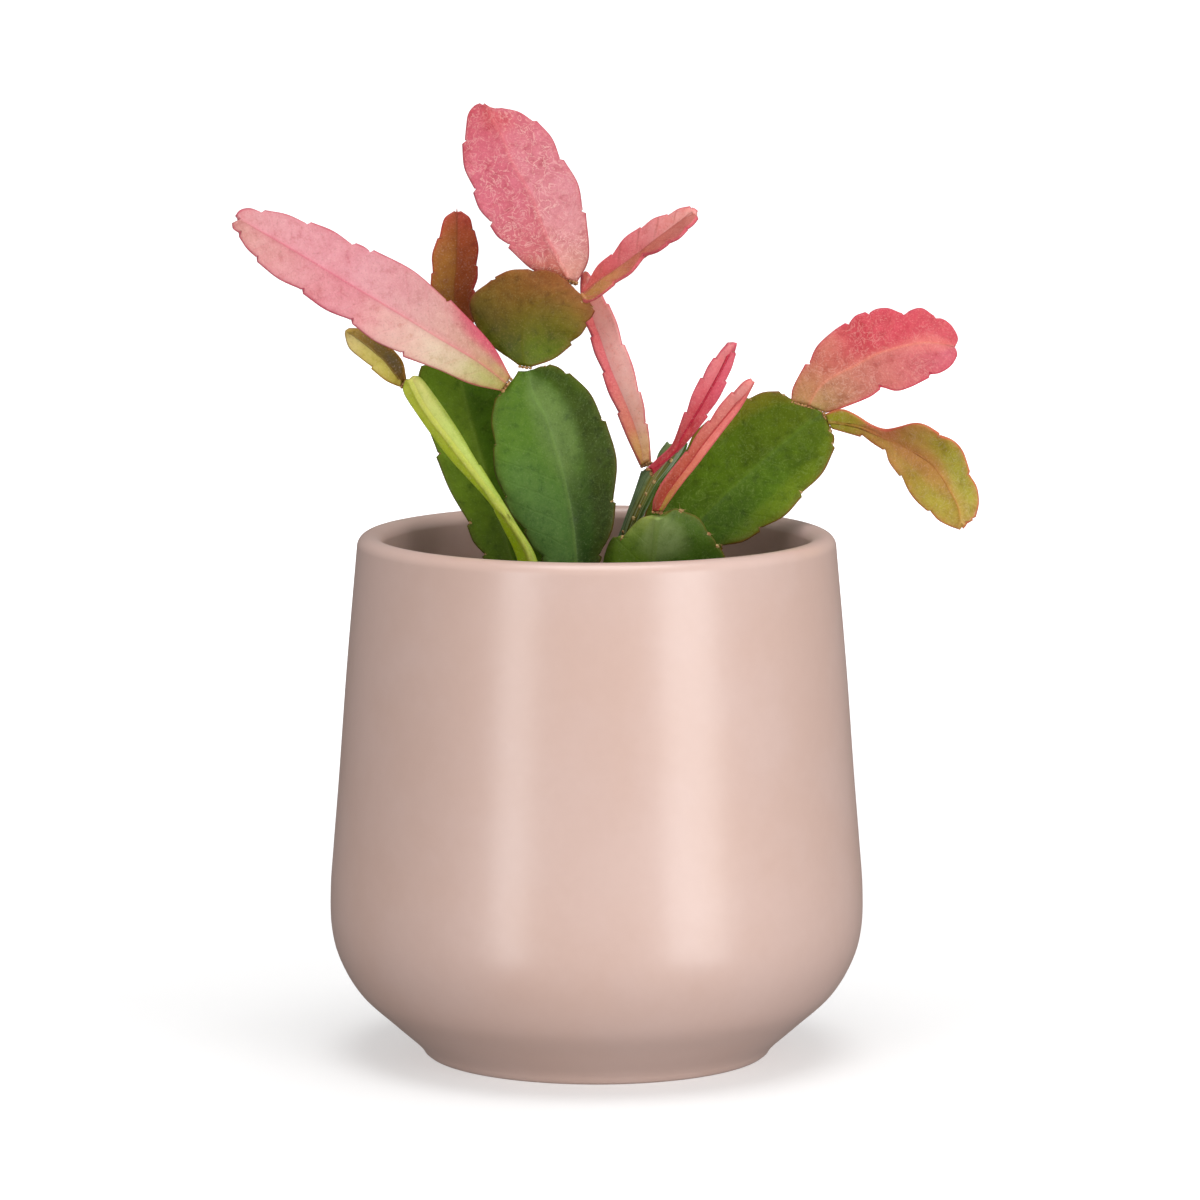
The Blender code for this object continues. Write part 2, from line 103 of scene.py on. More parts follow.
# The studio.
LIGHT_ABOVE = 0.52
LIGHT_BELOW = 0.34
LIGHT_BEHIND = 0.28
LIGHT_LEFT = 0.84
LIGHT_RIGHT = 1.15
OVERHEAD_LIGHT = 1.4
OVERHEAD_TILT = (5, 2)
FLOOR_GLOW = 0.42
FAR_FLOOR_GLOW = 0.7
FLOOR_TONE = 0.62
STUDIO_REACH = 9.0
BOX_DISTANCE = 1.2
BOX_HEIGHT = 0.12
LEFT_BOX = dict(azimuth=-36.5, size=(0.32, 1.0), power=4.4)
RIGHT_BOX = dict(azimuth=42, size=(0.55, 1.0), power=7.8)
BACK_BOX = 5

SMOOTH = "smooth"

# Each segment runs from its base to its tip. midrib holds points across and down the sheet, in squares,
# with the depth behind it in millimetres. left and right hold the teeth of the two margins, seen with the
# tip up; a smooth point is passed without a tooth. lean_left and lean_right say, evenly from base to tip,
# by how many degrees each half turns away from the front. tooth is the step at each tooth in millimetres,
# bulge is how far a lobe swells, as a share of its length, and worn is how often the teeth are rounded off.
SEGMENTS = {
    "segment_01_long_pink": dict(
        midrib=[(506, 384, -8.8), (477, 362, -10.6), (437, 338, -12.6), (396, 313, -14.6), (347, 284, -17),
                (307, 260, -19), (266, 236, -21), (238, 220, -22.2)],
        left=[(501, 391), (470, 384, SMOOTH), (441, 371, SMOOTH), (403, 357), (352, 324), (303, 294),
              (257, 262), (239, 237), (233, 229, SMOOTH), (232, 223)],
        right=[(511, 377), (491, 343, SMOOTH), (451, 300), (374, 250), (356, 243), (311, 222), (265, 210),
               (250, 208, SMOOTH), (240, 210, SMOOTH), (235, 216)],
        lean_left=(-10, -18),
        lean_right=(4, 12),
        bulge=0.06,
    ),
    "segment_02_tall_pink": dict(
        midrib=[(569, 280, -4.1), (553, 250, -3), (544, 232, -2), (530, 195, 0), (512, 165, 2),
                (503, 141, 3.6), (483, 106, 6)],
        left=[(561, 281), (546, 273, SMOOTH), (531, 269, SMOOTH), (508, 248), (490, 226), (473, 193),
              (462, 144), (466, 127, SMOOTH), (468, 114, SMOOTH), (474, 106, SMOOTH), (480, 103)],
        right=[(577, 283), (589, 257, SMOOTH), (586, 213), (564, 160), (537, 121), (502, 108),
               (491, 108, SMOOTH), (484, 103)],
        lean_left=(12, -4),
        lean_right=(8, 14),
    ),
    "segment_03_small_brown": dict(
        midrib=[(457, 351, 7), (456, 320, 8), (454, 292, 9), (456, 269, 10), (457, 240, 11), (457, 212, 12)],
        left=[(452, 351), (436, 312), (431, 274), (437, 239), (444, 219, SMOOTH), (454, 211)],
        right=[(462, 351), (475, 291), (478, 267), (475, 231), (470, 218, SMOOTH), (461, 211)],
        lean_left=(-25, -30),
        lean_right=(-25, -30),
        tooth=0.4,
    ),
    "segment_04_olive_oval": dict(
        midrib=[(525, 366, -8), (522, 345, -7.6), (524, 325, -7.2), (536, 306, -6.8), (556, 296, -6.3),
                (575, 289, -5.8)],
        left=[(518, 365), (484, 338, SMOOTH), (469, 302, SMOOTH), (491, 280), (527, 269), (556, 272),
              (567, 281)],
        right=[(532, 367), (554, 359, SMOOTH), (572, 345), (587, 326), (595, 311), (584, 298)],
        lean_left=(12, 10),
        lean_right=(6, 4),
        ridge=0.02,
    ),
    "segment_05_folded_pink": dict(
        midrib=[(582, 299, -5.4), (589, 294, -5.6), (604, 281, -6.6), (626, 266, -8.4), (643, 253, -10), (662, 239, -12),
                (687, 221, -14.4), (696, 215, -15.4)],
        left=[(580, 296), (587, 284, SMOOTH), (597, 266, SMOOTH), (611, 254), (640, 227), (667, 214), (690, 206), (698, 211)],
        right=[(583, 302), (594, 300, SMOOTH), (614, 285), (643, 257), (667, 245), (686, 231), (698, 217)],
        lean_left=(10, 12),
        lean_right=(-60, -70, -70),
        tooth=0.3,
    ),
    "segment_06_narrow_pink": dict(
        midrib=[(645, 464, 0.9), (636, 430, 2.2), (623, 397, 3.6), (611, 369, 5), (600, 337, 6.4),
                (593, 317, 7.2), (585, 271, 9)],
        left=[(640, 466), (627, 438, SMOOTH), (617, 414), (602, 374), (590, 338), (580, 305), (581, 274)],
        right=[(651, 461), (650, 443, SMOOTH), (648, 424), (641, 392), (625, 345), (609, 304), (588, 272)],
        lean_left=(-25, -25),
        lean_right=(-20, -20),
        tooth=0.4,
        rib=NARROW_RIB_THICKNESS,
        bulge=0.04,
        ridge=0.04,
    ),
    "segment_07_front_green": dict(
        midrib=[(578, 643, -6), (577, 612, -6), (575, 547, -6.5), (565, 485, -7), (546, 421, -8),
                (533, 395, -8), (526, 371, -8)],
        left=[(572, 643), (570, 612, SMOOTH), (541, 559), (524, 533), (504, 500), (493, 448), (495, 398),
              (513, 379, SMOOTH), (518, 371)],
        right=[(584, 643), (584, 612, SMOOTH), (602, 557), (616, 503), (606, 421), (570, 373), (550, 364),
               (534, 369)],
        lean_left=(2, 8),
        lean_right=(2, 8),
    ),
    "segment_08_back_green": dict(
        midrib=[(527, 638, 2.6), (525, 606, 2.6), (512, 560, 3.2), (488, 480, 4.4), (470, 420, 5.6),
                (458, 372, 6.6), (454, 354, 7)],
        left=[(521, 638), (518, 606, SMOOTH), (482, 557), (467, 526), (450, 491, SMOOTH), (436, 457),
              (422, 410, SMOOTH), (418, 380, SMOOTH), (421, 366), (447, 354)],
        right=[(533, 638), (532, 606, SMOOTH), (556, 560), (556, 500), (540, 440), (512, 390), (480, 362),
               (461, 354)],
        lean_left=(-4, -8),
        lean_right=(6, 12),
    ),
    "segment_09_edge_on": dict(
        midrib=[(539, 646, -10), (537, 612, -10), (530, 560, -10.4), (515, 530, -10.8), (502, 511, -11),
                (479, 480, -11), (453, 446, -10.6), (425, 409, -10), (409, 379, -9.6)],
        left=[(533, 646), (531, 612, SMOOTH), (516, 556, SMOOTH), (504, 530, SMOOTH), (494, 510),
              (475, 486, SMOOTH), (446, 454, SMOOTH), (415, 411, SMOOTH), (403, 391, SMOOTH),
              (406, 379)],
        right=[(545, 646), (543, 612, SMOOTH), (537, 560, SMOOTH), (514, 521, SMOOTH), (481, 466),
               (456, 427, SMOOTH), (431, 391, SMOOTH), (420, 377, SMOOTH), (412, 376)],
        lean_left=(0, 32, 38, 38),
        lean_right=(10, 35, 42, 46, 46),
        tooth=0.35,
        bulge=0.03,
        rib=NARROW_RIB_THICKNESS,
    ),
    "segment_10_small_olive": dict(
        midrib=[(403, 383, -8), (396, 375, -7), (385, 361, -6.4), (376, 353, -6), (365, 344, -5.6),
                (346, 330, -5.4)],
        left=[(400, 387), (386, 381, SMOOTH), (371, 369), (360, 358, SMOOTH), (349, 348, SMOOTH), (345, 336, SMOOTH),
              (345, 331)],
        right=[(406, 380), (403, 362, SMOOTH), (392, 348), (378, 337, SMOOTH), (362, 329, SMOOTH), (349, 328)],
        lean_left=(-10, -10),
        lean_right=(-18, -18),
        tooth=0.4,
        rib=NARROW_RIB_THICKNESS,
    ),
    "segment_11_upper_crimson": dict(
        midrib=[(652, 469, -1), (663, 461, -1.6), (675, 450, -2.4), (685, 432, -3.4), (702, 404, -4.6),
                (723, 366, -6.2), (733, 342, -7)],
        left=[(647, 468), (658, 458, SMOOTH), (669, 448, SMOOTH), (674, 440, SMOOTH), (684, 412), (700, 378),
              (713, 358), (728, 343)],
        right=[(653, 475), (663, 465, SMOOTH), (674, 455, SMOOTH), (685, 445, SMOOTH), (708, 417), (727, 383),
               (736, 354), (737, 343)],
        lean_left=(-10, -20),
        lean_right=(-10, -18),
        tooth=0.4,
        bulge=0.04,
        ridge=0.04,
    ),
    "segment_12_lower_salmon": dict(
        midrib=[(657, 511, -9), (669, 490, -10), (688, 465, -11.6), (698, 451, -12.6), (707, 439, -13.4),
                (726, 416, -15), (745, 393, -16.6), (753, 381, -17.4)],
        left=[(652, 511), (654, 498, SMOOTH), (664, 479, SMOOTH), (685, 452), (707, 421), (731, 392),
              (743, 382, SMOOTH), (751, 378)],
        right=[(663, 511), (680, 487, SMOOTH), (700, 462, SMOOTH), (722, 433, SMOOTH), (741, 408, SMOOTH),
               (755, 382)],
        lean_left=(-10, -18),
        lean_right=(-12, -18),
        tooth=0.4,
        bulge=0.04,
        ridge=0.04,
        rib=NARROW_RIB_THICKNESS,
    ),
    "segment_13_right_green": dict(
        midrib=[(622, 635, 5), (628, 604, 5), (660, 560, 6), (700, 520, 7.4), (745, 477, 9),
                (790, 438, 10.6), (822, 413, 11.6)],
        left=[(616, 635), (621, 603, SMOOTH), (640, 530, SMOOTH), (655, 484), (682, 451), (708, 420),
              (745, 397), (779, 391), (790, 399), (816, 409)],
        right=[(628, 635), (635, 608, SMOOTH), (682, 578, SMOOTH), (723, 549), (760, 532), (802, 497),
               (835, 448), (834, 435), (824, 417)],
        lean_left=(4, 14),
        lean_right=(2, -6),
    ),
    "segment_14_red_oval": dict(
        midrib=[(809, 406, 11.8), (818, 390, 12.2), (833, 378, 12.6), (857, 366, 13.6), (880, 354, 14.6),
                (922, 344, 16.6), (954, 348, 18)],
        left=[(791, 401), (793, 387, SMOOTH), (805, 364), (817, 346, SMOOTH), (833, 331, SMOOTH), (845, 323),
              (865, 312), (876, 309, SMOOTH), (888, 308, SMOOTH), (901, 313), (911, 310, SMOOTH),
              (922, 308, SMOOTH), (933, 315), (943, 319, SMOOTH), (952, 326, SMOOTH), (958, 338, SMOOTH),
              (955, 347)],
        right=[(826, 413), (840, 409, SMOOTH), (868, 398, SMOOTH), (880, 390), (896, 391, SMOOTH),
               (911, 387, SMOOTH), (929, 378), (940, 373, SMOOTH), (951, 366, SMOOTH), (957, 356, SMOOTH),
               (956, 349)],
        lean_left=(8, 12),
        lean_right=(-6, -14),
        bulge=0.13,
    ),
    "segment_15_twisted_yellow": dict(
        midrib=[(828, 421, 11.6), (845, 422, 10.6), (862, 426, 8.8), (880, 434, 6.8), (897, 441, 5),
                (909, 447, 4), (925, 457, 2.6), (938, 469, 1.4), (949, 487, 0.4), (959, 507, -0.6),
                (962, 527, -1.2)],
        left=[(825, 414), (841, 409, SMOOTH), (856, 415, SMOOTH), (871, 425, SMOOTH), (886, 430, SMOOTH),
              (899, 427, SMOOTH), (914, 423, SMOOTH), (926, 425, SMOOTH), (939, 433), (953, 440, SMOOTH),
              (963, 451, SMOOTH), (970, 471), (977, 487, SMOOTH), (979, 503, SMOOTH), (976, 517), (970, 522),
              (963, 529)],
        right=[(832, 429), (846, 433, SMOOTH), (860, 437), (872, 443, SMOOTH), (883, 450), (889, 462, SMOOTH),
               (899, 476), (908, 490, SMOOTH), (916, 501, SMOOTH), (927, 511), (938, 520, SMOOTH),
               (949, 526, SMOOTH), (960, 530)],
        lean_left=(-30, -60, -50, -20, -10),
        lean_right=(-10, 0, 10, 10, 10),
        bulge=0.13,
        tooth=0.45,
    ),
    "segment_16_low_front": dict(
        midrib=[(650, 639, -3), (650, 609, -3), (652, 580, -4.5), (655, 545, -7), (658, 516, -9)],
        left=[(644, 639), (641, 609, SMOOTH), (612, 592, SMOOTH), (603, 569, SMOOTH), (606, 550, SMOOTH),
              (613, 537, SMOOTH), (620, 540), (632, 526, SMOOTH), (641, 518, SMOOTH), (651, 515)],
        right=[(656, 639), (659, 609, SMOOTH), (700, 592, SMOOTH), (727, 562), (719, 547), (711, 535),
               (703, 523, SMOOTH), (696, 516, SMOOTH), (683, 511), (676, 508, SMOOTH), (664, 514)],
        lean_left=(5, 12, 25, 30),
        lean_right=(5, 8, 8),
        tooth=0.35,
        worn=2,
    ),
    "segment_17_dark_edge_on": dict(
        midrib=[(603, 638, 1.2), (605, 607, 1.2), (619, 555, 1.2), (630, 520, 1.2), (643, 490, 1.2),
                (656, 465, 1.2), (670, 444, 1.4)],
        left=[(597, 638), (599, 607, SMOOTH), (612, 552, SMOOTH), (619, 535, SMOOTH), (629, 507, SMOOTH),
              (636, 487, SMOOTH), (641, 471), (653, 466), (667, 441)],
        right=[(609, 638), (611, 607, SMOOTH), (625, 560, SMOOTH), (638, 528, SMOOTH), (652, 499, SMOOTH),
               (660, 484, SMOOTH), (672, 471, SMOOTH), (685, 452, SMOOTH), (688, 443)],
        lean_left=(10, 40, 30, 10),
        lean_right=(-10, -10, 5, 20),
        tooth=0.35,
        rib=NARROW_RIB_THICKNESS,
    ),
}

ROOTED = (
    "segment_07_front_green",
    "segment_08_back_green",
    "segment_09_edge_on",
    "segment_13_right_green",
    "segment_16_low_front",
    "segment_17_dark_edge_on",
)

# How each segment looks. left and right hold the colour of each half as (share from base to tip, colour),
# rib is the midrib's line and rim the thin line on the margin. washes are soft patches, each with its place
# across (-1 to 1) and along (0 to 1), its reach both ways, its colour and its strength; most are the skin's own
# colour, and the pale washes near the tips of 07 and 16 are painted sheen. line is how strong the midrib shows,
# blend how softly the halves meet, and areole the size of the woolly tufts in the notches.
# tufts places more of them on the front face, by across and along.
LOOKS = {
    "segment_01_long_pink": dict(
        left=[(0.02, (180, 170, 84)), (0.25, (230, 206, 184)), (0.45, (222, 154, 152)), (0.64, (221, 136, 150)),
              (0.95, (217, 158, 150))],
        right=[(0.02, (184, 126, 87)), (0.25, (212, 162, 151)), (0.5, (219, 152, 159)), (0.72, (222, 147, 156)),
               (0.97, (218, 156, 158))],
        rib=(218, 92, 120), rim=(196, 68, 92),
        washes=[(1.0, 0.14, 0.5, 0.16, (205, 50, 95), 0.75), (-0.5, 0.0, 1.5, 0.14, (170, 175, 80), 0.5)],
        net=0.15, areole=0,
    ),
    "segment_02_tall_pink": dict(
        left=[(0.02, (197, 115, 73)), (0.2, (211, 108, 119)), (0.6, (215, 113, 131)), (0.95, (199, 86, 99))],
        right=[(0.02, (207, 144, 125)), (0.2, (211, 138, 143)), (0.6, (208, 123, 135)), (0.95, (203, 92, 107))],
        rib=(224, 116, 116), rim=(200, 70, 85), line=0.2,
        washes=[(0.1, 0.93, 0.6, 0.13, (198, 78, 84), 0.7)],
        net=1.0, areole=0,
    ),
    "segment_03_small_brown": dict(
        left=[(0.2, (150, 98, 22)), (0.6, (166, 108, 30)), (0.85, (176, 104, 46)), (0.99, (206, 92, 72))],
        right=[(0.2, (128, 62, 6)), (0.6, (148, 66, 12)), (0.85, (184, 86, 40)), (0.99, (210, 84, 70))],
        rib=(122, 62, 14), rim=(186, 50, 52), washes=[], net=0.1, areole=0.3, blend=0.3,
    ),
    "segment_04_olive_oval": dict(
        left=[(0.02, (80, 98, 6)), (0.25, (74, 70, 5)), (0.55, (120, 90, 28)), (0.95, (144, 80, 36))],
        right=[(0.02, (84, 88, 4)), (0.3, (82, 94, 3)), (0.7, (112, 94, 18)), (0.97, (160, 98, 52))],
        rib=(96, 84, 20), rim=(150, 65, 45), blend=0.5, line=0.1,
        washes=[(0.8, 0.1, 0.8, 0.3, (96, 116, 16), 0.6)],
        net=0.15, areole=0.55, gloss=0.14, pale=(190, 170, 110),
    ),
    "segment_05_folded_pink": dict(
        left=[(0.02, (204, 100, 72)), (0.25, (212, 84, 90)), (0.55, (230, 118, 124)), (0.95, (248, 180, 170))],
        right=[(0.02, (178, 130, 58)), (0.3, (202, 132, 86)), (0.62, (193, 98, 87)), (0.95, (210, 124, 112))],
        rib=(194, 92, 80), rim=(215, 85, 105), washes=[], net=0.2, veins=0.8, areole=0,
    ),
    "segment_06_narrow_pink": dict(
        left=[(0.02, (208, 188, 78)), (0.2, (226, 130, 112)), (0.55, (236, 116, 128)), (0.95, (212, 108, 84))],
        right=[(0.02, (214, 184, 104)), (0.2, (240, 180, 164)), (0.6, (250, 188, 183)), (0.95, (230, 134, 114))],
        rib=(206, 72, 95), rim=(205, 80, 98), washes=[], net=0.2, areole=0,
    ),
    "segment_07_front_green": dict(
        left=[(0.02, (54, 84, 14)), (0.35, (76, 114, 42)), (0.6, (89, 125, 46)), (0.95, (90, 124, 28))],
        right=[(0.02, (34, 58, 0)), (0.35, (34, 64, 2)), (0.65, (74, 100, 30)), (0.95, (66, 92, 12))],
        rib=(112, 142, 70), rim=(104, 78, 26),
        # The second wash, pale grey green by the midrib near the tip, is painted sheen: the waxy skin's highlight put
        # into its colour.
        washes=[(0.72, 0.62, 0.3, 0.5, (50, 62, 2), 0.75), (0.12, 0.8, 0.4, 0.22, (118, 144, 76), 0.6),
                (-0.55, 0.4, 0.55, 0.32, (100, 132, 74), 0.4)],
        net=0.12, areole=0.6, gloss=0.12, pale=(160, 185, 120),
    ),
    "segment_08_back_green": dict(
        left=[(0.02, (38, 58, 2)), (0.4, (92, 120, 16)), (0.7, (112, 140, 32)), (0.95, (94, 124, 22))],
        right=[(0.02, (54, 82, 4)), (0.4, (82, 116, 18)), (0.7, (74, 108, 16)), (0.95, (84, 118, 20))],
        rib=(112, 138, 44), rim=(90, 78, 22), washes=[], net=0.12, areole=0.6, gloss=0.12, pale=(160, 185, 100),
    ),
    "segment_09_edge_on": dict(
        left=[(0.02, (138, 164, 6)), (0.4, (160, 192, 10)), (0.65, (176, 198, 36)), (0.95, (202, 208, 72))],
        right=[(0.02, (150, 172, 46)), (0.4, (184, 206, 90)), (0.8, (196, 212, 116)), (0.98, (226, 224, 132))],
        rib=(190, 186, 84), rim=(140, 160, 30),
        washes=[(1.0, 0.5, 0.4, 0.9, (150, 172, 36), 0.6)],
        net=0.08, areole=0.35, gloss=0.16,
    ),
    "segment_10_small_olive": dict(
        left=[(0.02, (182, 168, 64)), (0.4, (214, 202, 104)), (0.95, (234, 218, 142))],
        right=[(0.02, (82, 58, 0)), (0.5, (102, 84, 1)), (0.8, (150, 112, 31)), (0.97, (212, 188, 97))],
        rib=(136, 88, 24), rim=(160, 112, 36), washes=[], net=0.1, areole=0.3, blend=0.22,
    ),
    "segment_11_upper_crimson": dict(
        left=[(0.02, (190, 56, 50)), (0.2, (164, 62, 42)), (0.42, (216, 92, 94)), (0.65, (238, 112, 124)),
              (0.95, (236, 152, 150))],
        right=[(0.02, (184, 48, 42)), (0.2, (172, 66, 44)), (0.45, (204, 76, 84)), (0.7, (225, 90, 110)),
               (0.97, (231, 120, 130))],
        rib=(206, 30, 62), rim=(208, 78, 100), washes=[], net=0.2, areole=0.25, line=0.85,
    ),
    "segment_12_lower_salmon": dict(
        left=[(0.02, (130, 60, 18)), (0.22, (186, 84, 58)), (0.5, (204, 106, 86)), (0.75, (226, 130, 121)),
              (0.97, (243, 166, 158))],
        right=[(0.02, (144, 158, 28)), (0.22, (224, 128, 90)), (0.5, (244, 140, 124)), (0.75, (244, 128, 124)),
               (0.97, (246, 156, 140))],
        rib=(200, 52, 58), rim=(214, 90, 96), washes=[], net=0.2, areole=0.25, line=0.7,
    ),
    "segment_13_right_green": dict(
        left=[(0.1, (50, 74, 0)), (0.4, (78, 108, 6)), (0.7, (72, 97, 0)), (0.95, (84, 98, 0))],
        right=[(0.1, (46, 73, 0)), (0.4, (64, 97, 8)), (0.75, (81, 111, 4)), (0.95, (77, 95, 0))],
        rib=(92, 120, 26), rim=(140, 78, 38),
        washes=[(-1.0, 0.8, 0.35, 0.35, (120, 110, 18), 0.6), (0.9, 0.75, 0.35, 0.3, (118, 138, 20), 0.5)],
        net=0.3, areole=0.7, gloss=0.12, pale=(165, 185, 110),
    ),
    "segment_14_red_oval": dict(
        left=[(0.02, (186, 140, 87)), (0.25, (201, 116, 101)), (0.55, (201, 78, 87)), (0.95, (206, 84, 93))],
        right=[(0.02, (172, 138, 82)), (0.25, (195, 130, 107)), (0.5, (198, 106, 100)), (0.75, (204, 100, 104)),
               (0.97, (209, 94, 112))],
        rib=(226, 136, 108), rim=(222, 58, 90), net=0.4, areole=0,
        washes=[(0.0, 0.84, 0.35, 0.2, (226, 122, 118), 0.6), (-0.6, 0.62, 0.6, 0.28, (204, 66, 82), 0.6)],
    ),
    "segment_15_twisted_yellow": dict(
        left=[(0.02, (170, 182, 40)), (0.18, (182, 150, 60)), (0.42, (196, 140, 80)), (0.66, (172, 158, 50)),
              (0.95, (186, 164, 80))],
        right=[(0.02, (148, 166, 24)), (0.25, (194, 142, 68)), (0.5, (194, 146, 66)), (0.78, (170, 162, 44)),
               (0.97, (186, 158, 64))],
        rib=(200, 118, 62), rim=(204, 84, 70),
        washes=[(-0.5, 0.3, 0.8, 0.12, (206, 118, 84), 0.7), (0.1, 0.55, 0.45, 0.3, (196, 126, 70), 0.6),
                (-0.7, 0.72, 0.4, 0.25, (158, 156, 38), 0.6), (0, 0, 1.5, 0.1, (150, 160, 40), 0.5)],
        net=0.3, areole=0.3,
    ),
    "segment_16_low_front": dict(
        left=[(0.3, (70, 98, 14)), (0.6, (96, 128, 26)), (0.85, (108, 138, 44)), (0.97, (170, 188, 98))],
        right=[(0.3, (46, 74, 4)), (0.6, (62, 95, 16)), (0.85, (86, 117, 36)), (0.97, (106, 133, 48))],
        rib=(112, 138, 54), rim=(110, 88, 28),
        # This pale wash near the tip is painted sheen, a whitish highlight put into the skin's colour.
        washes=[(0.1, 0.85, 0.5, 0.22, (164, 182, 120), 0.5)],
        net=0.15, areole=0.8, gloss=0.12, pale=(175, 190, 140),
    ),
    "segment_17_dark_edge_on": dict(
        left=[(0.1, (80, 102, 50)), (0.5, (108, 132, 92)), (0.8, (126, 148, 104)), (0.97, (106, 126, 82))],
        right=[(0.1, (72, 84, 14)), (0.5, (110, 104, 16)), (0.8, (128, 114, 28)), (0.97, (118, 112, 36))],
        rib=(92, 104, 40), rim=(70, 96, 22),
        washes=[(1.0, 0.8, 0.55, 0.4, (52, 88, 10), 0.95)],
        net=0.05, stripes=0.8, areole=0.4, gloss=0.12, pale=(140, 155, 120),
        tufts=[(-0.1, 0.52), (0.25, 0.6), (0.35, 0.66), (0.35, 0.73), (0.4, 0.8), (0.55, 0.92), (0.6, 0.97)],
    ),
}


def rgb(colour):
    """Linear RGBA of a colour given as red, green and blue from 0 to 255."""
    scaled = [value / 255 for value in colour]
    return (*[v / 12.92 if v <= 0.04045 else ((v + 0.055) / 1.055) ** 2.4 for v in scaled], 1)


def smooth_curve(points, spacing):
    """Points about that far apart, along a Catmull-Rom curve through the given points."""
    given = np.array(points, float)
    ends = [2 * given[0] - given[1], *given, 2 * given[-1] - given[-2]]
    curve = [given[0]]
    for before, start, end, after in zip(ends, ends[1:], ends[2:], ends[3:]):
        steps = max(1, round(float(np.linalg.norm(end - start)) / spacing))
        for t in np.arange(1, steps + 1) / steps:
            curve.append(
                0.5
                * (
                    2 * start
                    + (end - before) * t
                    + (2 * before - 5 * start + 4 * end - after) * t**2
                    + (3 * start - before - 3 * end + after) * t**3
                )
            )
    return np.array(curve)


def gone_along(curve):
    """How far along the curve each of its points is."""
    return np.concatenate([[0], np.cumsum(np.linalg.norm(np.diff(curve, axis=0), axis=1))])


def along(curve, share):
    """The places at those shares of the curve's length."""
    gone = gone_along(curve)
    return np.stack([np.interp(share * gone[-1], gone, curve[:, k]) for k in range(curve.shape[1])], axis=-1)


def lobes(margin, hand, tooth, bulge):
    """The margin as a list of smooth lobes. Each ends in a tooth, and the next starts a step inwards."""
    step = tooth * MM / SQUARE
    found = []
    waypoints = [np.array(margin[0][:2], float)]
    for point in margin[1:]:
        here = np.array(point[:2], float)
        waypoints.append(here)
        if SMOOTH in point:
            continue
        chord = waypoints[-1] - waypoints[0]
        length = np.linalg.norm(chord)
        outwards = np.array([chord[1], -chord[0]]) / length * hand
        if len(waypoints) == 2:
            waypoints.insert(1, (waypoints[0] + waypoints[1]) / 2 + outwards * bulge * length)
        found.append(smooth_curve(waypoints, 1.0))
        waypoints = [here - outwards * step + chord / length * 0.5 * step]
    return found


def margin_points(segment, side):
    """ROWS + 1 points along the margin, with one on each tooth and one in each notch, and the notches' rows."""
    hand = 1 if side == "left" else -1
    runs = lobes(segment[side], hand, segment.get("tooth", TOOTH), segment.get("bulge", BULGE))
    lengths = [gone_along(run)[-1] for run in runs]
    pieces = [1] * len(runs)
    while sum(pieces) + len(runs) - 1 < ROWS:
        pieces[max(range(len(runs)), key=lambda i: lengths[i] / pieces[i])] += 1
    points = []
    notches = []
    for run, count in zip(runs, pieces):
        if points:
            notches.append(len(points))
        points += list(along(run, np.arange(count + 1) / count))
    return np.array(points), notches


def nearest_shares(curve, flat_points):
    """How far along the curve, from 0 to 1, it passes nearest to each point, seen from the front."""
    gone = gone_along(curve)
    start, run = curve[:-1, :2], np.diff(curve[:, :2], axis=0)
    t = ((flat_points[:, None] - start) * run).sum(-1) / (run**2).sum(-1)
    t = t.clip(0, 1)
    distance = np.linalg.norm(start + run * t[..., None] - flat_points[:, None], axis=-1)
    best = distance.argmin(axis=1)
    rows = np.arange(len(flat_points))
    return (gone[best] + (gone[best + 1] - gone[best]) * t[rows, best]) / gone[-1]


def smoothed(values, times):
    """The list with each inner value drawn towards its neighbours, that many times."""
    values = values.copy()
    for _ in range(times):
        values[1:-1] = (values[:-2] + 2 * values[1:-1] + values[2:]) / 4
    return values


def on_sheet(flat, depth_mm):
    """The places in the round of points on the sheet, that far behind it along the line of sight."""
    depth = depth_mm * MM
    spread = 1 + depth / SIGHT_LENGTH
    side = (flat[..., 0] - SHEET_MIDDLE) * SQUARE * spread
    rise = (SHEET_MIDDLE - flat[..., 1]) * SQUARE * spread
    return SHEET_PLACE + side[..., None] * np.array([1, 0, 0]) + rise[..., None] * UP + depth[..., None] * AWAY


def unit(vectors):
    return vectors / np.maximum(np.linalg.norm(vectors, axis=-1, keepdims=True), 1e-12)


